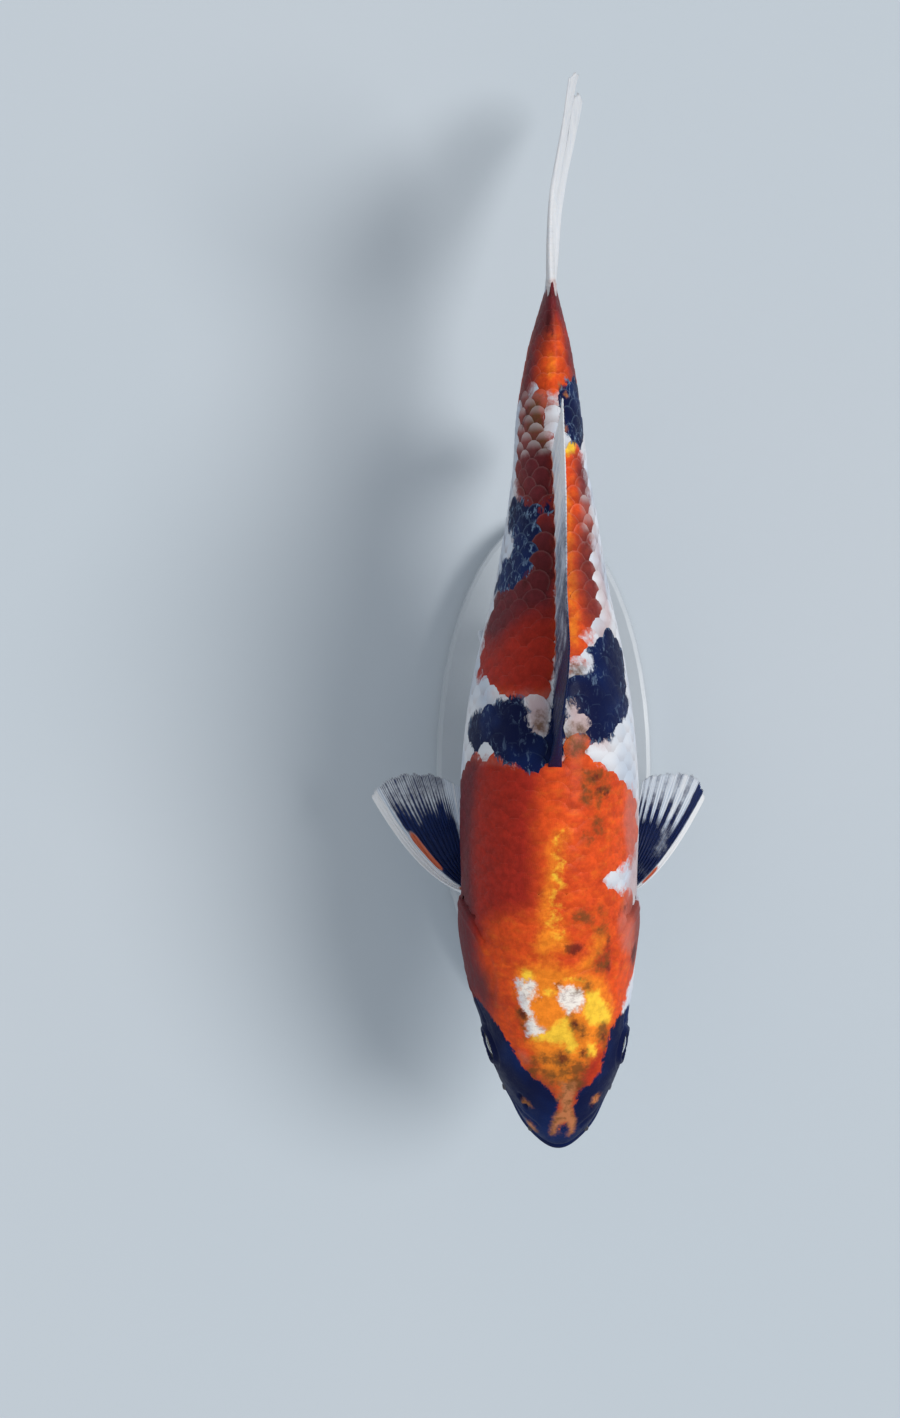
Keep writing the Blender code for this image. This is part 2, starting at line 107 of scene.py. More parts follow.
def storeColour(piece, name, red, green, blue, alpha=1.0):
    count = len(piece.data.vertices)
    values = np.empty((count, 4), np.float32)
    for column, part in enumerate((red, green, blue, alpha)):
        values[:, column] = part
    layer = piece.data.color_attributes.new(name, "FLOAT_COLOR", "POINT")
    layer.data.foreach_set("color", values.ravel())


def finishPiece(piece, name, material, nodes):
    piece.name = name
    piece.data.name = name
    piece.data.materials.clear()
    piece.data.materials.append(material)
    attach(piece, "root")
    if nodes:
        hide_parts(*nodes)
    print("made", name, len(piece.data.polygons), "faces")


def smoothOutward(piece):
    deselectAll()
    piece.select_set(True)
    bpy.context.view_layer.objects.active = piece
    bpy.ops.object.mode_set(mode="EDIT")
    bpy.ops.mesh.select_all(action="SELECT")
    bpy.ops.mesh.normals_make_consistent(inside=False)
    bpy.ops.object.mode_set(mode="OBJECT")
    bpy.ops.object.shade_smooth()


# the body's form: widths and heights are shares of the body's length
body = {
    "length": 280.0,
    "axisHeight": 76.0,
    "centreShare": 0.44,
    "noseShare": 0.10,
    "snoutLevel": -0.0215,
    "halfWidth": curveThrough(
        "0,.045 .029,.0555 .052,.0592 .075,.067 .1,.075 .145,.0856 .191,.0962 .238,.1035 .261,.105 "
        ".284,.104 .307,.1028 .377,.1044 .423,.1038 .47,.1003 .516,.0951 .563,.087 .609,.0766 .655,.066 "
        ".702,.058 .748,.0505 .795,.0432 .841,.0395 .864,.0368 .911,.029 .934,.0247 .957,.0186 .98,.0122 "
        "1,.0066"
    ),
    "back": curveThrough(
        "0,.026 .05,.047 .1,.068 .15,.091 .2,.109 .26,.127 .35,.1485 .44,.157 .52,.153 .62,.135 .74,.104 "
        ".85,.0745 .92,.0615 1,.0655"
    ),
    "belly": curveThrough(
        "0,-.06 .05,-.068 .1,-.082 .16,-.098 .24,-.115 .34,-.127 .46,-.1305 .58,-.123 .68,-.107 .78,-.084 "
        ".86,-.065 .93,-.059 1,-.063"
    ),
    "widest": curveThrough("0,-.0215 .1,-.028 .2,-.026 .3,-.012 .42,.006 .6,.01 1,0"),
    "squareAbove": curveThrough("0,2.2 .12,2.35 .24,2.15 .4,2 1,2"),
    "squareBelow": curveThrough("0,2 .15,1.9 .3,2.1 .5,2.2 .8,2 1,2"),
    "bend": curveThrough(
        "0,.0112 .05,.0107 .1,.0092 .145,.0066 .17,.004 .215,.0008 .25,0 .5,.0002 .72,.0024 .86,-.0006 "
        "1,.0018 1.05,.0042 1.096,.0072 1.143,.0145 1.189,.0232 1.25,.0335"
    ),
    "twist": curveThrough("0,0 .36,.005 .5,.026 .6,.042 .88,.045 1,0"),
    "tailSplay": 0.31,
}


def noseRounding(share):
    left = 1 - np.clip(share / body["noseShare"], 0, 1)
    return np.sqrt(1 - left * left)


def levelsAt(share):
    # how far the snout's rounding has come, and the heights of back, widest line and belly
    rounding, snout = noseRounding(share), body["snoutLevel"]
    return [rounding] + [
        body["length"] * (snout + (body[level](share) - snout) * rounding) for level in ("back", "widest", "belly")
    ]


def straightPoint(share, girth):
    # girth is in degrees from the back's middle, positive round the +X side, 180 at the belly
    share, girth = np.broadcast_arrays(np.asarray(share, float), np.asarray(girth, float))
    length = body["length"]
    rounding, back, widest, belly = levelsAt(share)
    turn = np.radians(90 - np.abs(girth))
    across, up = np.cos(turn), np.sin(turn)
    above = up >= 0
    power = 2 / np.where(above, body["squareAbove"](share), body["squareBelow"](share))
    height = np.where(above, back - widest, widest - belly)
    x = length * body["halfWidth"](share) * rounding * np.abs(across) ** power * np.sign(girth)
    z = widest + height * np.sign(up) * np.abs(up) ** power
    return np.stack([x, share * length, z], -1)


def straightNormal(share, girth):
    small = 0.0004
    along = straightPoint(np.minimum(share + small, 1.0), girth) - straightPoint(np.maximum(share - small, 0), girth)
    around = straightPoint(share, girth + 0.3) - straightPoint(share, girth - 0.3)
    normal = np.cross(around, along)
    length = np.linalg.norm(normal, axis=-1, keepdims=True)
    return normal / np.maximum(length, 1e-12)


def posed(places):
    # millimetres on the straight body to metres on the bent one, over the stand
    share = places[..., 1] / body["length"]
    lean = body["twist"](share) - body["tailSplay"] * np.maximum(0, share - 1)
    x = places[..., 0] + body["length"] * body["bend"](share) + lean * places[..., 2]
    y = places[..., 1] - body["centreShare"] * body["length"]
    return np.stack([x, y, places[..., 2] + body["axisHeight"]], -1) * mm


# arc lengths round the body, so that scales keep their size wherever they sit
arcShares = np.linspace(0, 1, 141)
arcGirths = np.linspace(0, 180, 361)
arcPoints = straightPoint(arcShares[:, None], np.maximum(arcGirths[None, :], 1e-6))
arcSteps = np.linalg.norm(np.diff(arcPoints, axis=1), axis=-1)
arcLengths = np.concatenate([np.zeros((len(arcShares), 1)), np.cumsum(arcSteps, axis=1)], axis=1)
halfGirth = curveThrough(list(zip(arcShares[::5], arcLengths[::5, -1])))
arcShareSteps = np.linspace(0, 1, 241)
girthTable = np.array([
    np.interp(arcShareSteps, row / row[-1] if row[-1] > 0 else np.linspace(0, 1, len(row)), arcGirths)
    for row in arcLengths
])


def girthAtArc(share, arc):
    # the girth angle at an arc length, in mm, from the back's middle, positive round the +X side
    total = halfGirth(share)
    over = np.abs(arc) > total  # past the belly's middle it comes up on the other side
    side = np.where(over, -np.sign(arc), np.sign(arc))
    reach = np.where(over, 2 * total - np.abs(arc), np.abs(arc)) / total
    row = np.clip(share, 0, 1) * (len(arcShares) - 1)
    column = np.clip(reach, 0, 1) * (len(arcShareSteps) - 1)
    i, j = np.minimum(row.astype(int), len(arcShares) - 2), np.minimum(column.astype(int), len(arcShareSteps) - 2)
    u, v = row - i, column - j
    angle = (
        girthTable[i, j] * (1 - u) * (1 - v)
        + girthTable[i + 1, j] * u * (1 - v)
        + girthTable[i, j + 1] * (1 - u) * v
        + girthTable[i + 1, j + 1] * u * v
    )
    return angle * np.where(side == 0, 1, side)


print("body form ready")

# markings: outlines in (mm behind the snout, degrees of girth), drawn on the body's surface
def outlines(text):
    return [pairsIn(part) for part in text.split(";")]


def ribbons(text):
    # outlines round lines, each "degrees across" and then its points
    found = []
    for width, points in (part.split(maxsplit=1) for part in text.split(";")):
        half, line = float(width) / 2, pairsIn(points)
        found.append([(s, g + half) for s, g in line] + [(s, g - half) for s, g in reversed(line)])
    return found


def blots(text, corners=9):
    # small uneven spots, each "place girth long wide"
    found = []
    for s, g, long, wide in (map(float, part.split()) for part in text.split(";")):
        turns = [2 * math.pi * k / corners for k in range(corners)]
        sizes = [1 + 0.18 * math.sin(3.1 * k + s) + 0.12 * math.cos(1.7 * k + g) for k in range(corners)]
        found.append([
            (s + long / 2 * size * math.cos(turn), g + size * (wide / 2 * math.sin(turn)))
            for turn, size in zip(turns, sizes)
        ])
    return found


markings = {
    # cap and shoulders as far as the black band; patches behind it; the saddle on the tail stalk
    "orange": outlines("""
        2,-30 8,-24 16,-28 24,-34 31,-42 38,-58 44,-70 48,-92 60,-99 80,-99 100,-97 118,-90 127,-68 129,-44
        126,-32 124,-12 128,4 138,8 137,15 133,24 130,25 127,26 124.5,31 122,40 120.5,50 118,66 104,78 95,70
        94,60 92.5,52 92,44 90,38 88,40 86.5,46 85,56 84,66 82,80 72,88 62,86 58,76 53,66 46,60 38,58 29,54
        20,46 10,36 2,34; 153,-3 149,-9 147,-22 147.2,-36 151.5,-53 154,-74 168,-84 180,-74 188,-52 194,-24
        204,-26 210,-56 218,-74 232,-72 246,-72 246,-40 243,-6 226,-4 200,0 175,-2 160,-3; 155,3 157,16 160,19
        165,23 168,30 172,38 176,42 186,43 195,45 206,54 220,58 227,44 229,22 226,4 200,0 175,0; 243,-100
        242,-20 244,20 243,40 246,100 262,98 276,92 284,0 277,-92 264,-98 252,-100
    """),
    # bare places inside the orange
    "white": outlines("""
        57,-21.5 57,-13 55,-10 52,-10.5 50.5,-13 48.5,-15 46,-14 44,-13.5 42,-11.5 41.3,-8 40.2,-8.5 39.4,-13
        39.2,-18 42,-19.5 45,-19 48,-20.5 51,-22.5 54,-23; 54.6,3 52,2 50,3 48.5,4.5 46.7,5 45,6.5 45.5,11
        47.5,16.5 50,18 52,19 54,15.5 55,9; 236,-14 236,-4 231,-3 230,-12
    """) + blots("""
        245.5 -41 3 12
    """),
    # head and snout; band at the front of the dorsal fin; patches further back
    "black": outlines("""
        -12,-130 -12,130 4,110 5,30 6.4,12 9,6 8.6,2 6.4,-3 5,-30 4,-110; -12,-130 -12,4 6,4 9,0 13,0 17,-2
        20,-6 22.5,-13 25,-23 28,-30 31,-34 35,-39 38,-43 42,-49 45,-54 48,-62 50,-74 48,-92 42,-112 36,-128
        20,-126 8,-118; -12,130 -12,-4 6,-4 9,12 10,20 12.5,17 15,15 17.5,17 20,21 23,31 26,38 30,39 35,41 40,44
        43,51 45,60 47,74 44,104 34,120 20,122 8,116; 124.5,-10 123,-15 122.5,-22 125,-33 128.5,-42 131,-52
        128,-62 132,-76 139,-78 144,-66 145,-54 146.2,-42 147,-34 146.2,-28 144.5,-21 140,-17 136.5,-14 134,-8
        139,-4 147,-3 158,1 146,5 136,7 129,5.5 126,3; 136,18 145,16 148,12 150,7 153,9 153,22 155,28 158,31
        161,26 162.5,27 165,36 168,48 167,60 162,72 155,69 150,66 146,70 143,66 139,54 134,46 131.5,38 132.5,25;
        187,-34 190,-29 195,-28 203,-22 208,-34 212,-58 209,-80 202,-76 199,-60 195,-54 191,-62 188,-86 180,-84
        182,-58 184,-42; 229,20 230,5 237,2 243,4 247,14 250,42 248,80 232,78 227,46; 204,-18 210,-20 211,-6
        206,-5
    """),
    # bright yellow on the crown, and a painted highlight in a zigzag along the back's ridge
    "yellowAndHighlight": outlines("""
        53,21 53,30 49,36 46,44 42.5,42 41.5,22 45,17.5 48,18 51,20; 43.5,2 44.5,6 41,8 37,11 35.5,14 32.5,12
        33,7 35.5,3 36,-5 37,-17 39,-18 40,-8 41.5,-3; 60,-18 60,-11 57,-11 57,-18; 36,21 36,30 31.5,31 32,22;
        224,12 229,18 230,40 225,36
    """) + ribbons("""
        4 57.5,8 56.5,17; 2.6 70,2 72.5,6 74,1 75,-4 76.5,3 79,.5 80.5,5.5 82,1 84.5,.5 87.5,7 89.5,2 91.5,1
        94.8,6 97,2; 1.6 97,2 99.5,3 102,1.5 104.7,5.5
    """) + blots("""
        52.8 -3 2.4 5; 235 29 4 7; 236 19 4 5
    """),
    # softly edged, round the yellow, and as a painted highlight along the back's ridge
    "amberAndHighlight": outlines("""
        38,-22 44,-20 51,-22 59,-24 62,-14 62.5,0 60,14 58,34 48,44 42,44 34,32 27,15 20,12 19,2 24,-12 31,-18;
        65,-9 68,-10 74,-7 75,5 71,9 66,8; 251,-5 257,-4 257,2 252,2
    """) + ribbons("""
        8 72,-2 78,-4 84,-2 90,0 97,2 105,5; 10 60,18 66,28 69,32 72,34; 5 58,-22 61,-18; 6 164,12 176,13 196,13
        212,14; 5 133,9 138,9.5
    """),
    # where the orange turns a darker red, partly the fish's own and partly painted shade, mostly on the side away
    # from the light
    "deepAndShade": outlines("""
        44,-52 52,-54 66,-50 76,-40 80,-10 98,-11 112,-12 126,-6 130,-50 120,-95 48,-95; 146,0 146,-30 152,-85
        186,-80 200,-30 228,-74 232,0 190,0; 240,-85 244,-40 262,-30 268,-10 270,12 262,34 250,40 262,90 286,60
        286,-80; 205,42 222,38 226,70 205,64; 62,30 66,32 66,39 60,37; 32,22 32,38 25,39 20,26 20,14 26,16
    """),
    # olive-brown smudges
    "dull": outlines("""
        31,-26 33,-10 31,0 31,12 28,26 22,24 20,10 22,-12 26,-26; 47.5,-27 47.5,-21 44,-20 41,-18 38,-17 37,-23
        42,-27; 45,8 43.5,15 41,21 37.5,21 36.5,14 40,11 42,8.5; 41.5,30 42.5,39 38,44 34,40 36,30; 34,14 34,21
        31,22 31.2,14; 33,-5 33,6 28.5,5 28.5,-5; 57.5,15 57.5,23 53.5,24 53.5,17; 66,29 66,39 60,39 59,28
        62,25; 79,14 79,26 75,26 75,13; 74,28 74,38 70,37 71,28; 124,18 124,36 118,40 112,30 114,16; 237.5,-46
        239,-34 236,-32 235.5,-42; 158,8 157,22 151,20 150,9; 129,6 137,7 140,20 133,24 129,20; 228,-30 226,-12
        230,-16 244,-26 242,-44 232,-48
    """) + blots("""
        53.6 14.5 3 6; 78 32 4 6; 106 30 6 8; 102 22 4 6; 146 10 5 8; 139 -10 7 9
    """),
    # the forked mark on the snout, lips and the skin round the nostrils
    "tan": outlines("""
        23,0 23,13 17,14 12,17 9.5,24 5.2,34 4,24 7,15 9,10 8,4 5,-4 4.2,-18 6.5,-15 9.5,-7 13,0 17,0; 13.8,-33
        16,-35 17.3,-41 17.2,-47 15.5,-50 14.2,-45; 15,38 17.5,39 19,46 18,54 15.5,54 14.5,46; 5,-50 8.5,-52
        9.5,-62 7.5,-74 5,-66
    """) + blots("""
        236 15 2.6 7; 233 22 2.2 6; 240 19 2 5; 244 27 1.6 6; 247.5 14 2 8
    """),
    # skin that shows between the scales, and a small painted highlight at one lower corner of the cap
    "pink": outlines("""
        168,32 174,42 200,44 208,56 200,62 172,60 164,44; 198,30 214,36 214,58 200,52; 66,50 76,46 90,62 106,52
        118,56 114,78 80,90 60,80; 32.5,-29 32.5,-25 30,-23 29.5,-28; 129,8 148,8 146,20 140,28 131,22; 133,-16
        148,-22 149,-6 136,-5; 224,-74 246,-70 245,-6 226,-4; 131,22 136,24 136,40 131,38
    """) + ribbons("""
        6 126,-34 127,-58; 3 148,-58 147.5,-24
    """),
    # wine-brown shadows over the orange
    "maroon": outlines("""
        174,-3 173,-30 164,-58 166,-90 186,-90 204,-30 208,-2 190,0; 205,-30 212,-80 248,-90 247,-44 242,-26
        240,-2 210,0; 262,-90 260,-34 263,2 270,14 268,60 262,90 288,90 288,-90; 243,-90 243,-46 264,-40
        264,-90; 243,48 262,44 262,90 243,90; 168,27 178,22 190,17 204,26 206,60 170,50; 208,34 224,34 224,64
        208,60; 46,-100 50,-58 70,-54 86,-60 104,-60 128,-54 132,-100; 24,-16 23,-3 16,1 9,0 9,-8 16,-11; 8,14
        20,13 23,18 20,26 8,24; 44,-62 49,-42 57,-44 63,-58 58,-72; 62,66 82,58 84,90 62,90
    """),
    # small dark spots
    "freckle": outlines("""
        68,8 68.6,14 67.5,18.5 65.5,16 63.8,11 65.4,8 66.6,7; 72,35 72,39.5 68,39.5 65.8,38 66,33.5 69,36;
        119,30 118,35 115.6,38 114.8,35 116,31 116.2,27 117.8,26; 80.5,51 80,57 77.4,51 76.6,45.5 78.6,47;
        263,-24 264,-8 271,-5 270,-22
    """) + blots("""
        60.3 38.5 1.9 3.4; 121.8 27 1.8 3; 64 70 6 14; 31 2 2.6 5; 32.6 17.5 1.8 3.5; 55.4 2.4 2.6 3.4; 50.6
        -7.5 1.4 2.2; 46 -21.5 2.4 5; 42.6 11 1.5 3; 39 17 1.4 3; 38 37 2 4; 264.5 0 4 10; 195 -6 4 6; 186 -7 4
        6; 200 -4 2.5 4; 244 -14 1.8 8; 212 -14 4 7; 219 -10 3 6; 190 -22 3 5; 178 -30 3 5; 183 -34 3 6; 226 -28
        3 5; 232 -44 4 6; 239 -50 3 6; 236 -58 4 6
    """),
}
fieldReach = 12.0  # mm of distance that the stored fields hold on each side of an edge


def lineDistance(s, girth, start, end, roundness):
    # mm over the surface to the line from start to end
    ex, ey = end[0] - start[0], (end[1] - start[1]) * roundness
    qx, qy = s - start[0], (girth - start[1]) * roundness
    along = np.clip((qx * ex + qy * ey) / (ex * ex + ey * ey), 0, 1)
    return np.hypot(qx - along * ex, qy - along * ey)


def outlineField(share, girth, outlines, reach=fieldReach):
    # signed distance to the nearest outline, positive inside, in mm
    s = np.asarray(share, float) * body["length"]
    roundness = arcRadius(share)
    best = np.full(s.shape, -reach)
    for outline in outlines:
        corners = np.array(outline, float)
        near = (s > corners[:, 0].min() - reach) & (s < corners[:, 0].max() + reach)
        if not near.any():
            continue
        px, py, perDegree = s[near], girth[near], roundness[near]
        inside = np.zeros(px.shape, bool)
        distance = np.full(px.shape, 1e9)
        for (ax, ay), (bx, by) in zip(corners, np.roll(corners, -1, axis=0)):
            crosses = ((ay > py) != (by > py)) & (px < (bx - ax) * (py - ay) / (by - ay + 1e-12) + ax)
            inside ^= crosses
            distance = np.minimum(distance, lineDistance(px, py, (ax, ay), (bx, by), perDegree))
        best[near] = np.maximum(best[near], np.clip(np.where(inside, distance, -distance), -reach, reach))
    return best


def arcRadius(share):
    # mm of surface for each degree of girth
    return np.maximum(halfGirth(share) / 180, 0.04)


def markFields(share, girth):
    fields = {name: outlineField(share, girth, outlines) for name, outlines in markings.items()}
    fields["orange"] = np.minimum(fields["orange"], -fields["white"])
    return {name: 0.5 + field / (2 * fieldReach) for name, field in fields.items()}


print("markings ready")

class Wire:
    # a node's output, so that sums and products of outputs can be written as such
    tree = None

    def __init__(self, socket):
        self.socket = socket

    def __add__(self, other):
        return calc("ADD", self, other)

    def __sub__(self, other):
        return calc("SUBTRACT", self, other)

    def __rsub__(self, other):
        return calc("SUBTRACT", other, self)

    def __mul__(self, other):
        return calc("MULTIPLY", self, other)

    def __truediv__(self, other):
        return calc("DIVIDE", self, other)


def newMaterial(name):
    # the material being made is the one that every node below goes into
    material = bpy.data.materials.new(name)
    material.use_nodes = True
    Wire.tree = material.node_tree
    Wire.tree.nodes.clear()
    output = Wire.tree.nodes.new("ShaderNodeOutputMaterial")
    shader = Wire.tree.nodes.new("ShaderNodeBsdfPrincipled")
    Wire.tree.links.new(shader.outputs["BSDF"], output.inputs["Surface"])
    return material, shader


def addNode(kind, feeds, **settings):
    node = Wire.tree.nodes.new("ShaderNode" + kind)
    for name, value in settings.items():
        setattr(node, name, value)
    dress(node, feeds)
    return node


def dress(node, feeds):
    # wires are linked, and plain numbers and colours are set on the socket itself
    for name, value in feeds.items():
        socket = node.inputs[name]
        if isinstance(value, Wire):
            Wire.tree.links.new(value.socket, socket)
        elif isinstance(value, tuple) and socket.type == "RGBA":
            socket.default_value = (*value, 1)
        else:
            socket.default_value = value


def calc(operation, a, b=0.0):
    return Wire(addNode("Math", {0: a, 1: b}, operation=operation).outputs[0])


def ease(value, low, high, start=0.0, end=1.0):
    feeds = {"Value": value, "From Min": low, "From Max": high, "To Min": start, "To Max": end}
    return Wire(addNode("MapRange", feeds, interpolation_type="SMOOTHSTEP").outputs[0])


def mixed(factor, a, b, blend="MIX"):
    return Wire(addNode("Mix", {0: factor, 6: a, 7: b}, data_type="RGBA", blend_type=blend).outputs[2])


def grainNoise(vector, scale, detail=3.0, rough=0.5, distortion=0.0):
    feeds = {"Vector": vector, "Scale": scale, "Detail": detail, "Roughness": rough, "Distortion": distortion}
    return Wire(addNode("TexNoise", feeds).outputs["Fac"])


def cells(vector, scale):
    return Wire(addNode("TexVoronoi", {"Vector": vector, "Scale": scale}).outputs["Distance"])


def stretched(vector, scale):
    return Wire(addNode("Mapping", {"Vector": vector, "Scale": scale}).outputs[0])


def grey(value):
    return Wire(addNode("CombineColor", {0: value, 1: value, 2: value}).outputs[0])


def objectPlace():
    return Wire(addNode("TexCoord", {}).outputs["Object"])


def painted(name):
    # the four channels of a colour attribute
    node = addNode("Attribute", {}, attribute_name=name)
    split = addNode("SeparateColor", {0: Wire(node.outputs["Color"])})
    return [Wire(socket) for socket in (*split.outputs, node.outputs["Alpha"])]


def bump(height, strength, depth):
    return Wire(addNode("Bump", {"Strength": strength, "Distance": depth, "Height": height}).outputs[0])


# the koi's colours, shared by skin and scales
koiPaint = {
    "white": (0.73, 0.74, 0.78),
    "coolWhite": (0.54, 0.60, 0.70),
    "orange": (0.78, 0.084, 0.014),
    "deepOrangeAndShade": (0.37, 0.021, 0.013),
    "maroon": (0.085, 0.017, 0.026),
    "warmWhite": (0.93, 0.86, 0.78),
    "amberAndHighlight": (0.93, 0.245, 0.018),
    "yellowAndHighlight": (0.97, 0.58, 0.045),
    "black": (0.0016, 0.0050, 0.042),
    "blackSheen": (0.0035, 0.017, 0.095),
    "streak": (0.16, 0.24, 0.36),
    "tan": (0.52, 0.180, 0.070),
    "pink": (0.48, 0.19, 0.16),
    "olive": (0.125, 0.055, 0.014),
    "freckle": (0.070, 0.009, 0.010),
    "smoothest": 0.44,
    "roughest": 0.60,
    "specular": 0.075,
    "coat": 0.035,
    "coatRoughness": 0.18,
}


def layered(colour, *layers):
    # each layer is (amount, paint), and covers those before it
    for amount, paint in layers:
        colour = mixed(amount, colour, koiPaint[paint])
    return colour


def koiColour():
    place = objectPlace()
    orangeField, blackField, yellowAndHighlightField, deepAndShadeField = painted("marks")
    dullField, tanField, pinkField, rimHighlightField = painted("tones")
    freckleField, amberAndHighlightField, ownBlack, maroonField = painted("spots")
    along, across, chance, isScale = painted("grain")

    broad = grainNoise(place, 210, 3) - 0.5
    fine = grainNoise(place, 900, 3, 0.6) - 0.5
    shift = broad * 0.12 + fine * 0.08
    chanceShift = chance - 0.5
    wander = shift + chanceShift * 0.05

    bare = 1.0 - isScale
    ragged = wander + bare * shift * 1.1

    orange = ease(orangeField + ragged, 0.45, 0.545)
    # the yellow includes a painted highlight in a zigzag along the back's ridge
    yellowAndHighlight = ease(yellowAndHighlightField + shift * 1.5, 0.455, 0.565)
    # the amber includes a painted highlight along the back's ridge
    amberAndHighlight = ease(amberAndHighlightField + shift * 2.2, 0.38, 0.66)
    deepAndShade = ease(deepAndShadeField + shift * 2.0, 0.26, 0.74)
    dull = ease(dullField + shift * 2.0, 0.43, 0.56) * ease(grainNoise(place, 330, 4, 0.6), 0.34, 0.62, 0.3)
    tan = ease(tanField + shift * 1.2, 0.46, 0.55)
    pink = ease(pinkField + shift * 1.6, 0.4, 0.62)
    freckle = ease(freckleField + shift * 1.5, 0.46, 0.55)
    maroon = ease(maroonField + shift * 1.6, 0.28, 0.72)

    # black ends along the scales, some more and some less, and is torn by fine pale streaks
    tornPlace = blackField * 0.6 + ownBlack * 0.4
    tear = grainNoise(stretched(place, (1.0, 0.55, 1.0)), 520, 4, 0.65, 0.6) - 0.5
    black = ease(tornPlace + chanceShift * 0.13 + tear * 0.22, 0.485, 0.525)
    streak = ease(tear, 0.04, 0.14) * ease(tornPlace, 0.86, 0.56) * isScale

    cloud = grainNoise(place, 55, 2)
    white = mixed(ease(cloud, 0.35, 0.7), koiPaint["white"], koiPaint["coolWhite"])
    crown = amberAndHighlight * bare
    white = mixed(crown, white, koiPaint["warmWhite"])
    dirt = ease(grainNoise(stretched(place, (0.7, 1.2, 1.0)), 480, 5, 0.7), 0.44, 0.66)
    white = mixed(dirt * crown * 0.8, white, (0.42, 0.32, 0.32))
    flakes = ease(grainNoise(stretched(place, (0.7, 1.5, 1.0)), 260, 5, 0.6), 0.46, 0.78)
    warm = mixed(flakes * 0.3, koiPaint["orange"], koiPaint["amberAndHighlight"])
    shade = ease(grainNoise(stretched(place, (0.7, 1.4, 1.0)), 170, 5, 0.6), 0.42, 0.72)
    # the deep red is partly the fish's own and partly painted shade on the side away from the light
    warm = layered(
        warm, (shade * 0.4, "deepOrangeAndShade"), (deepAndShade * 0.95, "deepOrangeAndShade"), (amberAndHighlight, "amberAndHighlight"), (yellowAndHighlight, "yellowAndHighlight"),
        (maroon * 0.8, "maroon"),
    )
    mottle = ease(grainNoise(place, 420, 4, 0.65), 0.3, 0.72, 0.8, 1.12)
    warm = mixed(1.0, warm, grey(mottle), "MULTIPLY")
    pinkness = pink * ease(maroon, 0.0, 1.0, 0.5, 0.16)
    colour = layered(mixed(orange, white, warm), (pinkness, "pink"), (dull * 0.84, "olive"))

    # each scale has painted shade, a little darker, where the one before covers it, and a painted highlight, a little
    # paler, at its free edge
    coveredShade = ease(along, 0.72, 0.42) * isScale
    rim = ease(rimHighlightField, 0.8, 1.0)
    colour = mixed(coveredShade * 0.55, colour, (0.6, 0.48, 0.44), "MULTIPLY")
    paleTip = ease(along, 0.62, 0.96) * isScale * maroon
    colour = mixed(paleTip * pink * 0.75, colour, (0.52, 0.44, 0.44))
    colour = mixed(rim * 0.06, colour, (0.85, 0.72, 0.66))
    colour = mixed(isScale, colour, grey(ease(chance, 0.0, 1.0, 0.9, 1.08)), "MULTIPLY")

    ink = mixed(ease(cloud, 0.4, 0.7), koiPaint["black"], koiPaint["blackSheen"])
    # black scales get a painted highlight in the streak colour along their free edges
    ink = layered(ink, (streak, "streak"), (rim * 0.3, "streak"))
    colour = mixed(black, layered(colour, (freckle * 0.8, "freckle")), ink)
    worn = ease(grainNoise(place, 420, 3, 0.6), 0.38, 0.68, 0.0, 0.72)
    colour = mixed(tan, colour, mixed(worn, koiPaint["tan"], koiPaint["olive"]))
    return colour, place, along, across, chance


def koiMaterial(name, build, strength, depth):
    # build gives the height of the surface and what its gloss varies with, between low and high
    material, shader = newMaterial(name)
    colour, place, *grain = koiColour()
    height, gloss, low, high = build(place, *grain)
    dress(shader, {
        "Base Color": colour,
        "Normal": bump(height, strength, depth),
        "Roughness": ease(gloss, low, high, koiPaint["smoothest"], koiPaint["roughest"]),
        "Specular IOR Level": koiPaint["specular"],
        "Coat Weight": koiPaint["coat"],
        "Coat Roughness": koiPaint["coatRoughness"],
    })
    return material


def skinSurface(place, *grain):
    creases = grainNoise(place, 420, 5, 0.6)
    pores = ease(cells(place, 1500), 0.1, 0.45)
    return pores * 0.25 + creases, creases, 0.3, 0.7


def scaleSurface(place, along, across, chance):
    # fine lines that fan out to the free edge, and others across them
    fan = (across - 0.5) / (along + 0.25)
    fuzz = grainNoise(place, 700, 4, 0.6)
    lines = calc("SINE", fan * 62.0) * 0.12 + calc("SINE", along * 95.0) * 0.06
    return lines + fuzz, fuzz + chance * 0.2, 0.3, 0.9


def paintKoi(piece, patch, own, along=0.5, across=0.5, chance=0.5, isScale=0.0, rim=0.0):
    # the big patches keep to whole scales, so they are read at patch; small marks are read at own
    fields, small = markFields(*patch), markFields(*own)
    storeColour(piece, "marks", fields["orange"], fields["black"], small["yellowAndHighlight"], small["deepAndShade"])
    storeColour(piece, "tones", small["dull"], small["tan"], small["pink"], rim)
    storeColour(piece, "spots", small["freckle"], small["amberAndHighlight"], small["black"], small["maroon"])
    storeColour(piece, "grain", along, across, chance, isScale)


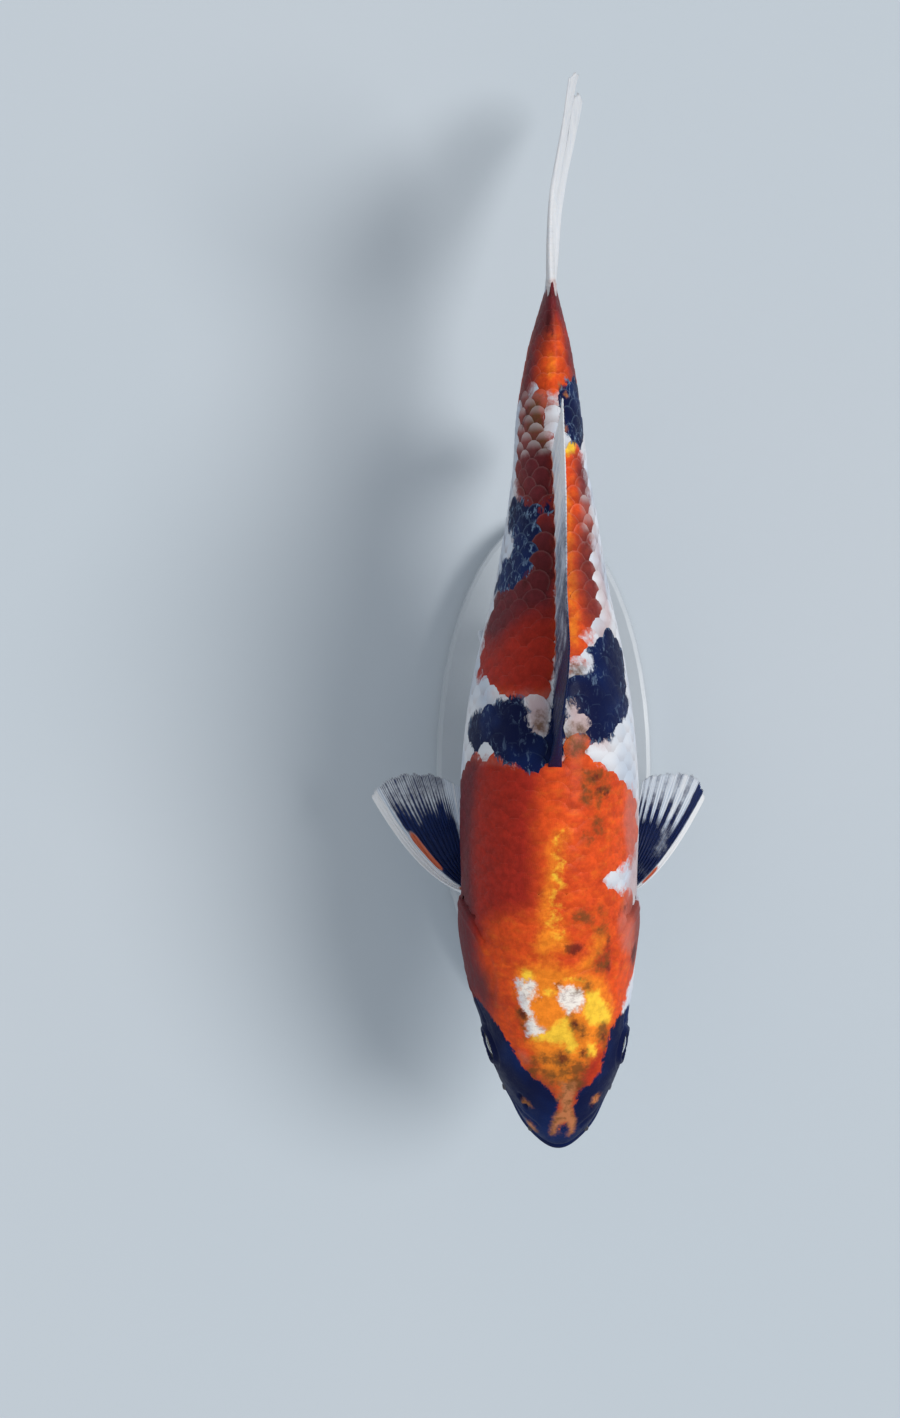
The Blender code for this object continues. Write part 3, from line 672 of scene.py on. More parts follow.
# skin: one closed surface from lips to tail root
skinPlan = {
    "segments": 256,
    "rings": 310,
    "headRings": 0.61,  # part of the rings spent on the head
    "headShare": 0.31,
    "noseCrowding": 0.08,
    "endRings": 0.016,
    "coatDepth": 0.55,
    "headDepth": 0.12,
    "napeShare": 0.207,  # where the scales begin on the back
    "coatGap": 0.006,
}
eyePlan = {
    "place": (18.1, 34.86, 1.54),
    "axis": (0.93, -0.24, 0.15),
    "radius": 5.9,
    "opening": 4.7,
    "socket": 2.9,
    "lids": ((1.05, 0.95, 1.25), (2.9, 0.7, -0.30), (3.9, 0.9, 0.25)),  # mm past the opening, width, height
    "domeSquare": 90.0,  # the cornea's radius, squared
    "domeSink": 4.93,
    "corneaThickness": 0.16,
}
gillPlan = {
    "middle": 101.5,  # degrees of girth
    "reach": 54.5,
    "back": 0.294,
    "sweep": 0.070,
    "lift": 0.55,
    "slit": 1.15,
}
mouthPlan = {
    "level": -7.2,
    "corner": (19.6, -11.6),
    # groove, lips and chin fold: mm over the mouth's line, width, height
    "ridges": ((0.0, 0.50, -1.5), (1.6, 1.0, 0.8), (-1.7, 1.1, 0.72), (-4.0, 0.6, -0.40)),
    "upperFold": (3.6, 0.5, -0.55),
    "upperFoldEnds": (16, 22),
}
headPlan = {
    # mm behind the snout, degrees of girth, width, depth
    "nostrils": (
        (14.4, 45.0, 0.75, 1.2), (17.5, 47.5, 0.95, 1.35), (16.0, 46.0, 0.65, -0.75), (16.0, 46.0, 3.4, -0.30),
    ),
    # brow, crown and the dip over the snout: mm behind the snout, length, degrees of girth, width, height
    "forms": ((33, 11, 56, 3.2, 0.5), (46, 9, 17, 5.0, 0.35), (22, 7, 0, 4.0, -0.30)),
}
# folds of the head as (mm behind the snout, degrees of girth), then depth and width
headFolds = [
    ("41,66 50,74 56,88 58,104 57,120 51,134 41,146 30,152", 0.50, 0.9),
    ("59,134 68,133 76,127 81,118", 0.28, 0.7),
    ("24,88 27,99 34,107 43,106 49,95 50,82", 0.25, 1.1),
    ("30,101 29,112 33,124", 0.18, 0.9),
    ("20,104 23,112 24,124 22,138 18,152 15,166 14,180", 0.42, 0.8),
    ("82,152 74,160 62,167 50,172 40,176 33,180", 0.95, 0.9),
    ("78,147 68,153 55,160 43,168", 0.30, 0.8),
    ("74,142 64,147 52,152 41,160", 0.22, 0.8),
    ("58,0 60,16 63,32 67,45", 0.22, 1.2),
    ("49,46 56,40 63,42", 0.22, 1.1),
    ("24,26 30,34 38,38 46,38", 0.18, 1.6),
    ("8,40 12,62 17,78 21,94", 0.30, 0.8),
]


def gillEdge(girth):
    # mm behind the snout of the gill cover's rear edge
    up = np.clip((np.abs(girth) - gillPlan["middle"]) / gillPlan["reach"], -1, 1)
    bulge = np.sqrt(1 - 0.93 * up * up)
    return body["length"] * (gillPlan["back"] - gillPlan["sweep"] * (1 - bulge))


def strokeDistance(share, girth, points):
    s, side, roundness = share * body["length"], np.abs(girth), arcRadius(share)
    best = np.full(s.shape, 1e9)
    for start, end in zip(points, points[1:]):
        best = np.minimum(best, lineDistance(s, side, start, end, roundness))
    return best


def headRelief(share, girth, straight):
    # how far the head's skin stands out, in mm
    s, side, z = share * body["length"], np.abs(girth), straight[:, 2]
    relief = np.zeros(s.shape)

    corner = mouthPlan["corner"]
    mouth = mouthPlan["level"] + (corner[1] - mouthPlan["level"]) * np.clip(s / corner[0], 0, 1.3) ** 1.25
    off = z - mouth
    jaws = 1 - smoothStep(corner[0] - 2.5, corner[0] + 1.5, s)
    for up, width, height in mouthPlan["ridges"]:
        relief += height * hump(off - up, width) * jaws
    up, width, height = mouthPlan["upperFold"]
    relief += height * hump(off - up, width) * (1 - smoothStep(*mouthPlan["upperFoldEnds"], s))

    for points, depth, width in headFolds:
        distance = strokeDistance(share, girth, pairsIn(points))
        relief -= depth * (hump(distance, width) - 0.45 * hump(distance - 1.9 * width, 1.1 * width))

    edge = s - gillEdge(girth)
    within = smoothStep(41, 53, side) * (1 - smoothStep(150, 158, side))
    plate = smoothStep(-22, -4, edge) * (1 - smoothStep(-0.4, 0.5, edge))
    slit = smoothStep(-0.1, 0.6, edge) * (1 - smoothStep(0.9, 6.0, edge))
    relief += within * (gillPlan["lift"] * plate - gillPlan["slit"] * slit)
    relief += within * 0.35 * hump(edge + 2.6, 1.0)

    for s0, g0, width, depth in headPlan["nostrils"]:
        relief -= depth * hump(np.hypot(s - s0, (side - g0) * arcRadius(share)), width)
    for s0, long, g0, width, height in headPlan["forms"]:
        relief += height * hump(s - s0, long) * hump((side - g0) * arcRadius(share), width)

    centre, axis = np.array(eyePlan["place"]), np.array(eyePlan["axis"])
    axis = axis / np.linalg.norm(axis)
    offset = np.stack([np.abs(straight[:, 0]), straight[:, 1], z], -1) - centre
    spread = np.linalg.norm(offset - (offset @ axis)[:, None] * axis, axis=1)
    spread = np.where(offset @ axis > 0, spread, 99)
    beyond = spread - eyePlan["opening"]
    relief -= eyePlan["socket"] * (1 - smoothStep(-0.9, 0.5, beyond))
    for out, width, height in eyePlan["lids"]:
        relief += height * hump(beyond - out, width)
    return relief


def makeSkin():
    piece, ball, polar, _ = unitBall(skinPlan["segments"], skinPlan["rings"])
    t = polar / math.pi
    girth = np.degrees(np.arctan2(ball[:, 0], ball[:, 1]))
    girth = np.where(np.hypot(ball[:, 0], ball[:, 1]) < 1e-6, 1e-6, girth)

    c = skinPlan["noseCrowding"]
    q = t / skinPlan["headRings"]
    head = skinPlan["headShare"] * q * q * (1 + c) / (q + c)
    rear = (t - skinPlan["headRings"]) / (1 - skinPlan["endRings"] - skinPlan["headRings"])
    share = np.where(q < 1, head, skinPlan["headShare"] + (1 - skinPlan["headShare"]) * np.clip(rear, 0, 1))
    close = np.clip((t - 1 + skinPlan["endRings"]) / skinPlan["endRings"], 0, 1)  # the end under the tail fin
    straight = straightPoint(share, girth)
    straight[:, 0] *= np.sqrt(1 - close**2)
    straight[:, 2] *= 1 - close
    straight[:, 1] += 1.0 * np.sqrt(close)
    movePoints(piece, posed(straight))

    normals = np.empty(len(straight) * 3)
    piece.data.vertices.foreach_get("normal", normals)
    normals = normals.reshape(-1, 3)
    scaledPart = smoothStep(-1.5, 3.0, share * body["length"] - coatFront(girth) * body["length"])
    inset = skinPlan["headDepth"] + (skinPlan["coatDepth"] - skinPlan["headDepth"]) * scaledPart
    relief = headRelief(share, girth, straight)
    movePoints(piece, placesOf(piece) + normals * ((relief - inset) * mm)[:, None])
    bpy.ops.object.shade_smooth()
    paintKoi(piece, (share, girth), (share, girth))
    return piece


def coatFront(girth):
    # share of the length where the scales begin
    side = np.abs(girth)
    edge = gillEdge(side) / body["length"]
    low, high = gillPlan["middle"] - gillPlan["reach"], gillPlan["middle"] + gillPlan["reach"]
    gap, start = skinPlan["coatGap"], skinPlan["napeShare"]
    nape = start + (gillEdge(low) / body["length"] + gap - start) * (np.minimum(side, low) / low) ** 1.6
    throat = gillEdge(high) / body["length"] + gap + 0.055 * smoothStep(high, 172, side)
    return np.where(side < low, nape, np.where(side > high, throat, edge + gap))


# scales: one is modelled, and every other is a copy laid along the rows
coatPlan = {
    "pitch": curveThrough("50,5.2 90,5.6 140,6.1 200,6.1 240,5.5 280,4.6"),
    "rowGap": curveThrough(".18,5.8 .3,6.5 .45,6.6 .6,6 .75,5.1 .9,4.4 1,4"),
    "lateral": curveThrough(".2,.44 .3,.46 .5,.5 .8,.5 1,.5"),
    "lastShare": 0.997,
    "heart": -0.12,
    "tip": 0.62,  # of a pitch behind the root
    "front": -1.02,
    "halfWidth": 0.83,  # of a row gap
    "tipHeight": -0.06,  # mm over the body's form
    "frontHeight": -0.72,
    "dome": 0.07,
    "thickness": 0.22,
    "raised": curveThrough("55,.1 110,.3 140,.34 168,.45 188,.85 205,1 242,.8 280,.45"),  # how far edges show
    "ownPlace": 0.30,  # how far a colour edge may cross a scale instead of going round it
    "bare": {"back": ((0.440, 0.806), (0.975, 1.0)), "belly": ((0.738, 0.812), (0.975, 1.0))},
    "seed": 11,
}


def oneScale():
    # a rounded leaf with a domed top of two rings
    deselectAll()
    bpy.ops.mesh.primitive_circle_add(vertices=14, radius=1, fill_type="NGON")
    piece = bpy.context.object
    bpy.ops.object.mode_set(mode="EDIT")
    bpy.ops.mesh.select_all(action="SELECT")
    bpy.ops.mesh.extrude_region_move(TRANSFORM_OT_translate={"value": (0, 0, 1)})
    bpy.ops.mesh.inset(thickness=0.15, depth=0)
    bpy.ops.mesh.inset(thickness=0.35, depth=0)
    bpy.ops.mesh.poke()
    bpy.ops.mesh.select_all(action="SELECT")
    bpy.ops.mesh.normals_make_consistent(inside=False)
    bpy.ops.object.mode_set(mode="OBJECT")
    return piece


def rowArc(share, row, median):
    inside = np.clip(share, 0, 0.999)
    if median == "back":
        return np.zeros_like(inside)
    if median == "belly":
        return halfGirth(inside)
    return coatPlan["lateral"](inside) * halfGirth(inside) + row * coatPlan["rowGap"](inside)


def scaleRoots():
    # (mm behind the snout, row, median row or none) for one side, with the rows staggered by half a pitch
    pitchSteps = np.linspace(40, 290, 1001)
    turns = np.concatenate([[0], np.cumsum(np.diff(pitchSteps) / coatPlan["pitch"](pitchSteps[:-1]))])
    roots = []
    for row, median in [(row, None) for row in range(-12, 13)] + [(0, "back"), (0, "belly")]:
        for k in range(int(turns[-1])):
            s = float(np.interp(k + 0.5 * (row % 2), turns, pitchSteps))
            share = np.array([s / body["length"]])
            inside = np.minimum(share, 0.999)
            gap, total = float(coatPlan["rowGap"](inside)[0]), float(halfGirth(inside)[0])
            arc = float(rowArc(share, row, median)[0])
            if share[0] > coatPlan["lastShare"]:
                continue
            if median is None and not 0.45 * gap < arc < total - 0.45 * gap:
                continue
            girth = float(girthAtArc(inside, np.array([arc]))[0])
            if share[0] < float(coatFront(girth)) + skinPlan["coatGap"]:
                continue
            if any(low < share[0] < high for low, high in coatPlan["bare"].get(median, ())):
                continue
            roots.append((s, row, median))
    return roots


def makeScales(name, side, material, template):
    rng = np.random.default_rng(coatPlan["seed"] + (side > 0))
    roots = [root for root in scaleRoots() if side > 0 or root[2] is None]
    leaf = placesOf(template)
    count = len(leaf)
    loops = [list(face.vertices) for face in template.data.polygons]
    x, y, top = leaf[:, 0], leaf[:, 1], leaf[:, 2] > 0.5
    radius = np.hypot(x, y)
    heart = coatPlan["heart"]
    u = heart + np.where(x > 0, x * (coatPlan["tip"] - heart), x * (heart - coatPlan["front"]))
    v = y * coatPlan["halfWidth"] * (1 + 0.06 * (1 - x * x))
    along = (u - coatPlan["front"]) / (coatPlan["tip"] - coatPlan["front"])

    places, shares, girths, ownShares, ownGirths, grains, patches, rimHighlights = [], [], [], [], [], [], [], []
    for s0, row, median in roots:
        pitch = float(coatPlan["pitch"](s0))
        chance, lift, turn = rng.random(), rng.normal(0, 0.035), rng.normal(0, 0.05)
        s = s0 + pitch * (u - turn * v)
        share = s / body["length"]
        gap = coatPlan["rowGap"](np.clip(share, 0, 0.999))
        arc = side * (rowArc(share, row, median) + gap * (v + turn * (u - heart)))
        girth = girthAtArc(np.clip(share, 0, 0.999), arc)
        raised = float(coatPlan["raised"](s0))
        front = coatPlan["tipHeight"] + (coatPlan["frontHeight"] - coatPlan["tipHeight"]) * (0.25 + 0.75 * raised)
        rise = front + (coatPlan["tipHeight"] + lift * raised - front) * along**0.9
        rise = rise + coatPlan["dome"] * (1 - radius**2) - np.where(top, 0, coatPlan["thickness"])
        rise = rise - np.where(top & (radius > 0.98), 0.13 - 0.06 * raised, 0)
        straight = straightPoint(np.minimum(share, 1.0), girth)
        straight[:, 1] = s
        places.append(posed(straight + straightNormal(np.clip(share, 0.001, 0.999), girth) * rise[:, None]))
        middleS = (s0 + 0.12 * pitch) / body["length"]
        middleArc = side * float(rowArc(np.array([middleS]), row, median)[0])
        middle = float(girthAtArc(np.array([min(middleS, 0.999)]), np.array([middleArc]))[0])
        if side * middleArc <= 0 or median == "belly":
            middle = 0.0 if median == "back" else np.copysign(179.9, side)
        own = coatPlan["ownPlace"]
        shares.append(middleS * (1 - own) + share * own)
        near = np.where(np.abs(girth - middle) > 180, girth + np.copysign(360, middle - girth), girth)
        girths.append(middle * (1 - own) + near * own)
        ownShares.append(share)
        ownGirths.append(near)
        grains.append(np.stack([along, v + 0.5, np.full(count, chance), np.full(count, 0.25 + 0.75 * raised)], 1))
        # how far out towards its free edge each scale carries the painted highlight
        rimHighlights.append(np.where(x > -0.45, radius, 0.0) * (0.84 + 0.16 * raised))
        patches.append(np.stack([
            np.full(count, 0.02 + 0.95 * s0 / body["length"]) + 0.0015 * x,
            np.full(count, 0.02 + 0.95 * abs(middle) / 180) + 0.0015 * y,
        ], 1))

    mesh = bpy.data.meshes.new(name)
    faces = [[i + k * count for i in face] for k in range(len(roots)) for face in loops]
    mesh.from_pydata(np.concatenate(places).tolist(), [], faces)
    piece = bpy.data.objects.new(name, mesh)
    bpy.context.scene.collection.objects.link(piece)
    patch = np.concatenate(patches)
    corners = np.empty(len(mesh.loops), np.int32)
    mesh.loops.foreach_get("vertex_index", corners)
    mesh.uv_layers.new(name="OFBake").data.foreach_set("uv", patch[corners].astype(np.float32).ravel())
    grain = np.concatenate(grains)
    patchPlace, ownPlace = (
        [np.concatenate(part) for part in pair] for pair in ((shares, girths), (ownShares, ownGirths))
    )
    paintKoi(piece, patchPlace, ownPlace, *grain.T, np.concatenate(rimHighlights))
    smoothOutward(piece)
    bpy.ops.object.shade_smooth_by_angle(angle=math.radians(55))
    finishPiece(piece, name, material, ())
    print(len(roots), "scales on", name)
    return piece


koiSkin = makeSkin()
skinFinish = koiMaterial("koiSkin", skinSurface, 0.35, 0.0005)
finishPiece(
    koiSkin, "koiSkin", skinFinish,
    ("head", "lower_jaw", "trunk", "tail_stalk", "gill_cover_left", "gill_cover_right"),
)
scaleFinish = koiMaterial("koiScales", scaleSurface, 0.25, 0.0004)
leaf = oneScale()
makeScales("scalesLeft", 1, scaleFinish, leaf)
makeScales("scalesRight", -1, scaleFinish, leaf)
bpy.data.objects.remove(leaf)

# fins: a sheet over its rays, each ray a raised line that forks towards the edge
middleFins = {
    "dorsalFin": {
        "base": (0.446, 0.800), "rays": 20, "rows": 64, "above": True,
        "length": curveThrough("0,.112 .06,.142 .14,.138 .25,.118 .45,.097 .7,.086 1,.08"),
        "rise": curveThrough("0,58 .5,48 1,38"),
        "lean": curveThrough("0,.02 .35,.033 .5,.06 .8,.078 1,.12"),
        "rootHalf": 1.3, "tipHalf": 0.30, "bow": 0.06, "wave": 0.35, "spine": 1.7, "membrane": 0.72, "notch": 0.012,
    },
    "analFin": {
        "base": (0.742, 0.806), "rays": 8, "rows": 64, "above": False,
        "length": curveThrough("0,.118 .15,.132 .5,.1 1,.07"),
        "rise": curveThrough("0,-52 1,-34"),
        "lean": curveThrough("0,0 1,0"),
        "rootHalf": 1.3, "tipHalf": 0.22, "bow": 0.06, "wave": 0.35, "spine": 1.6,
    },
}
pectoralPlan = {
    "rays": 15, "rows": 72,
    "root": (0.2935, -16.5), "baseLength": 7.8, "baseDrop": 3.2,
    "rootHalf": 1.1, "tipHalf": 0.22, "wave": 0.35, "spine": 1.7, "notch": 0.022,
    "left": {
        "droop": 38, "bow": 0.36,
        "sweep": curveThrough("0,42.8 .15,48.4 .25,51.5 .4,56.8 .7,67.5 1,75.6"),
        "length": curveThrough("0,45.5 .07,47.2 .15,48.2 .25,47.2 .4,44 .7,37 1,30.8"),
    },
    "right": {
        "droop": 17, "bow": 0.50,
        "sweep": curveThrough("0,44.4 .15,50.8 .25,55.7 .4,63.1 .7,75 1,83.5"),
        "length": curveThrough("0,45 .07,46.4 .15,46.8 .25,45 .4,41.8 .7,34.6 1,27.9"),
    },
}
pelvicPlan = {
    "rays": 9, "rows": 60,
    "root": (0.478, 8.5), "baseLength": 6.0,
    "spread": curveThrough("0,11 1,-2"),
    "length": curveThrough("0,35 .2,37.5 .6,32 1,24"),
    "droop": 24,
    "rootHalf": 1.0, "tipHalf": 0.22, "bow": 0.0, "wave": 0.3, "spine": 1.5,
}
tailPlan = {
    "rays": 11, "rows": 96,
    "back": curveThrough("0,.118 .12,.142 .35,.186 .7,.233 .88,.25 1,.243"),
    "height": curveThrough("0,0 .12,.024 .35,.066 .7,.122 .88,.152 1,.172"),
    "scale": {"Upper": 0.915, "Lower": 1.03},
    "rootHalf": 1.5, "tipHalf": 0.26, "bow": 0.0, "wave": 0.25, "spine": 1.3, "membrane": 0.55, "notch": 0.02,
    "sway": curveThrough("0,.3 .02,.9 .06,1.7 .1,2.1 .16,2.3 .21,2.75 .25,3.1"),  # mm the outer rays lean
}
finPlan = {
    "start": 0.07,  # how far the sheet reaches into the body, of its length
    "membrane": 0.42,  # thickness between rays, of the ray's own
    "perRay": 10,  # columns of the sheet between two rays
    "firstFork": 0.34,
    "secondFork": 0.68,
    "notch": 0.030,  # how far the edge falls back between rays
}


def rayRidge(u, w, plan):
    # 1 on the middle of a ray, 0 between rays
    place = u * (plan["rays"] - 1)
    off = place - np.round(place)
    first = 0.23 * smoothStep(finPlan["firstFork"], finPlan["firstFork"] + 0.30, w)
    second = 0.115 * smoothStep(finPlan["secondFork"], finPlan["secondFork"] + 0.25, w)
    width = 0.17 - 0.09 * np.clip(w, 0, 1)
    ridge = np.zeros_like(off)
    for way in (-1, 1):
        for turn in (-1, 1):
            ridge = np.maximum(ridge, hump(off - way * first - turn * second, width))
    leading = hump(place - 0.15, 0.42)  # the first ray stays whole and stout
    return np.maximum(ridge * smoothStep(0.45, 0.7, place), leading)


def makeFin(name, node, plan, endsAt, across, paint, seed):
    rng = np.random.default_rng(seed)
    deselectAll()
    columns = (plan["rays"] - 1) * finPlan["perRay"]
    bpy.ops.mesh.primitive_grid_add(x_subdivisions=columns, y_subdivisions=plan["rows"], size=2)
    piece = bpy.context.object
    flat = placesOf(piece)
    u = np.clip((flat[:, 0] + 1) / 2, 0, 1)
    v = np.clip((flat[:, 1] + 1) / 2, 0, 1)
    w = -finPlan["start"] + (1 + finPlan["start"]) * v
    root, tip = endsAt(u)
    length = np.linalg.norm(tip - root, axis=1)
    ridge = rayRidge(u, w, plan)
    edge = rayRidge(u, np.ones_like(u), plan)
    tears = np.interp(u, np.linspace(0, 1, 2 * plan["rays"]), rng.random(2 * plan["rays"]))
    notch = plan.get("notch", finPlan["notch"])
    reach = 1 - notch * (1 - edge) - notch * tears * smoothStep(0.02, 0.10, u)
    along = w * np.where(w > 0, 1 - (1 - reach) * smoothStep(0.3, 1.0, w), 1)
    middle = root + (tip - root) * along[:, None]
    middle[:, 1] -= (plan["bow"] * (1 - 0.6 * u)) * length * (along - along**2) * (along > 0)
    if "cup" in plan:
        middle = plan["cup"](middle, u)
    swing = plan["wave"] * np.sin(u * 9.0 + w * 3.5 + seed) * smoothStep(0.05, 0.9, w)
    middle += across * swing[:, None]
    movePoints(piece, posed(middle))

    half = plan["tipHalf"] + (plan["rootHalf"] - plan["tipHalf"]) * (1 - np.clip(w, 0, 1)) ** 1.6
    stout = 1 + (plan["spine"] - 1) * hump(u * (plan["rays"] - 1), 0.8) * (1 - 0.6 * np.clip(w, 0, 1))
    membrane = plan.get("membrane", finPlan["membrane"])
    thick = half * (membrane + (1 - membrane) * ridge) * stout
    thick = np.maximum(thick * np.where(v > 0.999, 0.6, 1), 0.09)
    red, green, blue, alpha = paint(u, np.clip(w, 0, 1), ridge)
    storeColour(piece, "fin", ridge, np.clip(w, 0, 1), blue, alpha)
    storeColour(piece, "finTint", red, green, 0.0)
    weights = piece.vertex_groups.new(name="thickness")
    most = float(thick.max())
    for i, value in enumerate(thick / most):
        weights.add([i], float(value), "REPLACE")
    solid = piece.modifiers.new("thickness", "SOLIDIFY")
    solid.thickness = 2 * most * mm
    solid.offset = 0
    solid.vertex_group = "thickness"
    solid.use_rim = True
    bpy.ops.object.modifier_apply(modifier=solid.name)
    piece.vertex_groups.clear()
    smoothOutward(piece)
    finishPiece(piece, name, finFinish, (node,))


def middleFinAt(plan):
    def ends(u):
        share = plan["base"][0] + (plan["base"][1] - plan["base"][0]) * u
        level = body["length"] * (body["back"](share) if plan["above"] else body["belly"](share))
        root = np.stack([np.zeros_like(u), share * body["length"], level], 1)
        rise = np.radians(plan["rise"](u))
        reach = plan["length"](u) * body["length"]
        lean = reach * np.sin(rise) * plan["lean"](u)
        return root, root + np.stack([lean, reach * np.cos(rise), reach * np.sin(rise)], 1)

    return ends


def sideX(share, z):
    widest, belly = body["length"] * body["widest"](share), body["length"] * body["belly"](share)
    power = body["squareBelow"](share)
    part = np.clip(np.abs((z - widest) / (widest - belly)), 0, 1)
    return body["length"] * body["halfWidth"](share) * (1 - part**power) ** (1 / power)


def bellyZ(share, x):
    widest, belly = body["length"] * body["widest"](share), body["length"] * body["belly"](share)
    power = body["squareBelow"](share)
    return widest - (widest - belly) * (1 - (x / (body["length"] * body["halfWidth"](share))) ** power) ** (1 / power)


def pectoralAt(side, plan):
    def ends(u):
        share = plan["root"][0] + plan["baseLength"] / body["length"] * u
        z = plan["root"][1] - plan["baseDrop"] * u
        root = np.stack([side * (sideX(share, z) + 0.7), share * body["length"], z], 1)
        sweep, reach, down = np.radians(plan["sweep"](u)), plan["length"](u), math.radians(plan["droop"])
        out, back = reach * np.cos(sweep), reach * np.sin(sweep)
        return root, root + np.stack([side * out * math.cos(down), back, -out * math.sin(down)], 1)

    return ends


def pelvicAt(side, plan):
    def ends(u):
        share = plan["root"][0] + 0.004 * (1 - u)
        x = plan["root"][1] + plan["baseLength"] * (1 - u)
        root = np.stack([side * x, share * body["length"], bellyZ(share, x) - 0.6], 1)
        spread, reach = np.radians(plan["spread"](u)), plan["length"](u)
        down = -math.tan(math.radians(plan["droop"])) * np.ones_like(u)
        return root, root + np.stack([side * np.sin(spread), np.cos(spread), down], 1) * reach[:, None]

    return ends


def tailAt(word, way):
    plan, scale = tailPlan, tailPlan["scale"][word]
    far = way * float(body["length"] * body["back" if way > 0 else "belly"](1.0)) - 0.4

    def ends(u):
        length = plan["back"](u) * body["length"] * (1 + (scale - 1) * u)
        height = plan["height"](u) * body["length"] * scale - 0.5 * (1 - smoothStep(0, 0.1, u))
        root = np.stack([0 * u, body["length"] + 0.3 + 0 * u, way * (far * u - 0.6 * (1 - u))], 1)
        return root, np.stack([0 * u, body["length"] + length, way * height], 1)

    return ends


def tailCup(word, way):
    # each lobe leaves the middle plane towards its outer ray, so that both are seen from above
    scale = tailPlan["scale"][word]
    places = np.linspace(0, 0.88, 60)
    reaches = tailPlan["back"](places) * (1 + (scale - 1) * places)

    def cup(middle, u):
        over = middle[:, 1] / body["length"] - 1
        inner = np.interp(over, reaches, places, left=0.0)
        part = np.clip((u - inner) / np.maximum(1 - inner, 0.05), 0, 1)
        middle = middle.copy()
        middle[:, 0] -= way * tailPlan["sway"](over) * part * (over > 0)
        middle[:, 0] += body["tailSplay"] * np.maximum(over, 0) * middle[:, 2]
        return middle

    return cup


# paint functions return how black, how orange, how clear, and how white a place of a fin is
def plainPaint(u, w, ridge):
    clear = 0.30 * smoothStep(0.35, 1.0, w) * (1 - ridge)
    return np.zeros_like(u), np.zeros_like(u), clear, np.full_like(u, 0.5)


def dorsalPaint(u, w, ridge):
    dark = 1 - smoothStep(0.16, 0.26, u) * (1 - 0.55 * (1 - smoothStep(0.40, 0.52, u)))
    dark = np.where(u > 0.3, 0.55 - 0.13 * smoothStep(0.42, 0.50, u) - 0.34 * smoothStep(0.62, 0.74, u), dark)
    flush = 0.5 * (1 - smoothStep(0.0, 0.14, w)) * smoothStep(0.25, 0.35, u)
    return dark, flush, 0.06 * smoothStep(0.6, 1.0, w) * (1 - ridge), 0.35 + 0.4 * smoothStep(0.6, 0.75, u)


def rayChance(u, count, seed):
    # a different value for every ray, eased from one to the next
    marks = np.random.default_rng(seed).random(count + 2)
    return np.interp(u * count, np.arange(count + 2), marks)


def rightPectoralPaint(u, w, ridge):
    edge = 0.085 + 0.07 * (1 - w)
    lead = 1 - smoothStep(edge - 0.015, edge + 0.015, u)
    behind = smoothStep(edge, edge + 0.05, u)
    ends = 0.46 + 0.22 * rayChance(u, 14, 3)
    faded = smoothStep(ends, ends + 0.30, w)
    dark = behind * (1 - smoothStep(0.74, 0.92, u + 0.10 * w)) * (1 - faded * (0.30 + 0.40 * ridge))
    dark = np.maximum(dark, 0.46 * behind * (1 - 0.6 * ridge) * (1 - 0.5 * smoothStep(0.85, 1.0, w)))
    ember = hump(u - edge - 0.045, 0.035) * smoothStep(0.24, 0.34, w) * (1 - smoothStep(0.58, 0.72, w))
    ember = np.maximum(ember, 0.7 * hump(u - 0.10, 0.06) * (1 - smoothStep(0.04, 0.10, w)))
    pale = 0.8 * hump(u - 0.87, 0.045) * smoothStep(0.2, 0.4, w)
    tips = 0.5 * (1 - smoothStep(0.30, 0.45, u)) * smoothStep(0.90, 0.98, w)
    clear = 0.35 * smoothStep(0.60, 1.0, w) * smoothStep(0.2, 0.4, u) * (1 - 0.7 * ridge)
    return dark * (1 - ember) * (1 - pale), ember, clear, np.maximum(np.maximum(lead, pale), tips)


def leftPectoralPaint(u, w, ridge):
    edge = 0.055 + 0.045 * (1 - w)
    lead = 1 - smoothStep(edge - 0.012, edge + 0.012, u)
    bars = 0.5 + 0.5 * np.cos(2 * math.pi * (u - 0.2) / 0.135 + 0.8 * (rayChance(u, 14, 5) - 0.5))
    bars = smoothStep(0.15, 0.80, bars) * (0.75 + 0.25 * rayChance(u, 14, 6))
    bars = bars * smoothStep(0.12, 0.18, u) * smoothStep(0.44 + 0.14 * rayChance(u, 14, 8), 0.72, w)
    heart = hump(u - 0.60, 0.20) * hump(w - 0.48, 0.16)
    dark = 0.66 + 0.45 * heart - 0.16 * hump(u - 0.28, 0.10) * hump(w - 0.50, 0.14)
    dark = dark + 0.25 * hump(u - edge - 0.06, 0.035) * smoothStep(0.5, 0.65, w)
    dark = dark * (1 - 0.42 * smoothStep(0.68, 0.95, w) * smoothStep(0.14, 0.20, u)) * (1 - 0.92 * bars) * (1 - lead)
    ember = 0.8 * hump(u - 0.055, 0.03) * smoothStep(0.10, 0.18, w) * (1 - smoothStep(0.30, 0.42, w))
    clear = 0.30 * smoothStep(0.66, 1.0, w) * smoothStep(0.14, 0.3, u) * (1 - 0.6 * bars) * (1 - 0.7 * ridge)
    return dark, ember, clear, np.maximum(lead, 0.72 * bars)


def tailPaint(u, w, ridge):
    dark = 0.34 * (1 - smoothStep(0.0, 0.07, w)) * (0.6 + 0.4 * rayChance(u, 11, 9))
    flush = 0.34 * (1 - smoothStep(0.0, 0.07, w))
    clear = 0.20 * smoothStep(0.25, 0.9, w) * (1 - 0.8 * ridge)
    return dark, flush, clear, np.full_like(u, 0.78)


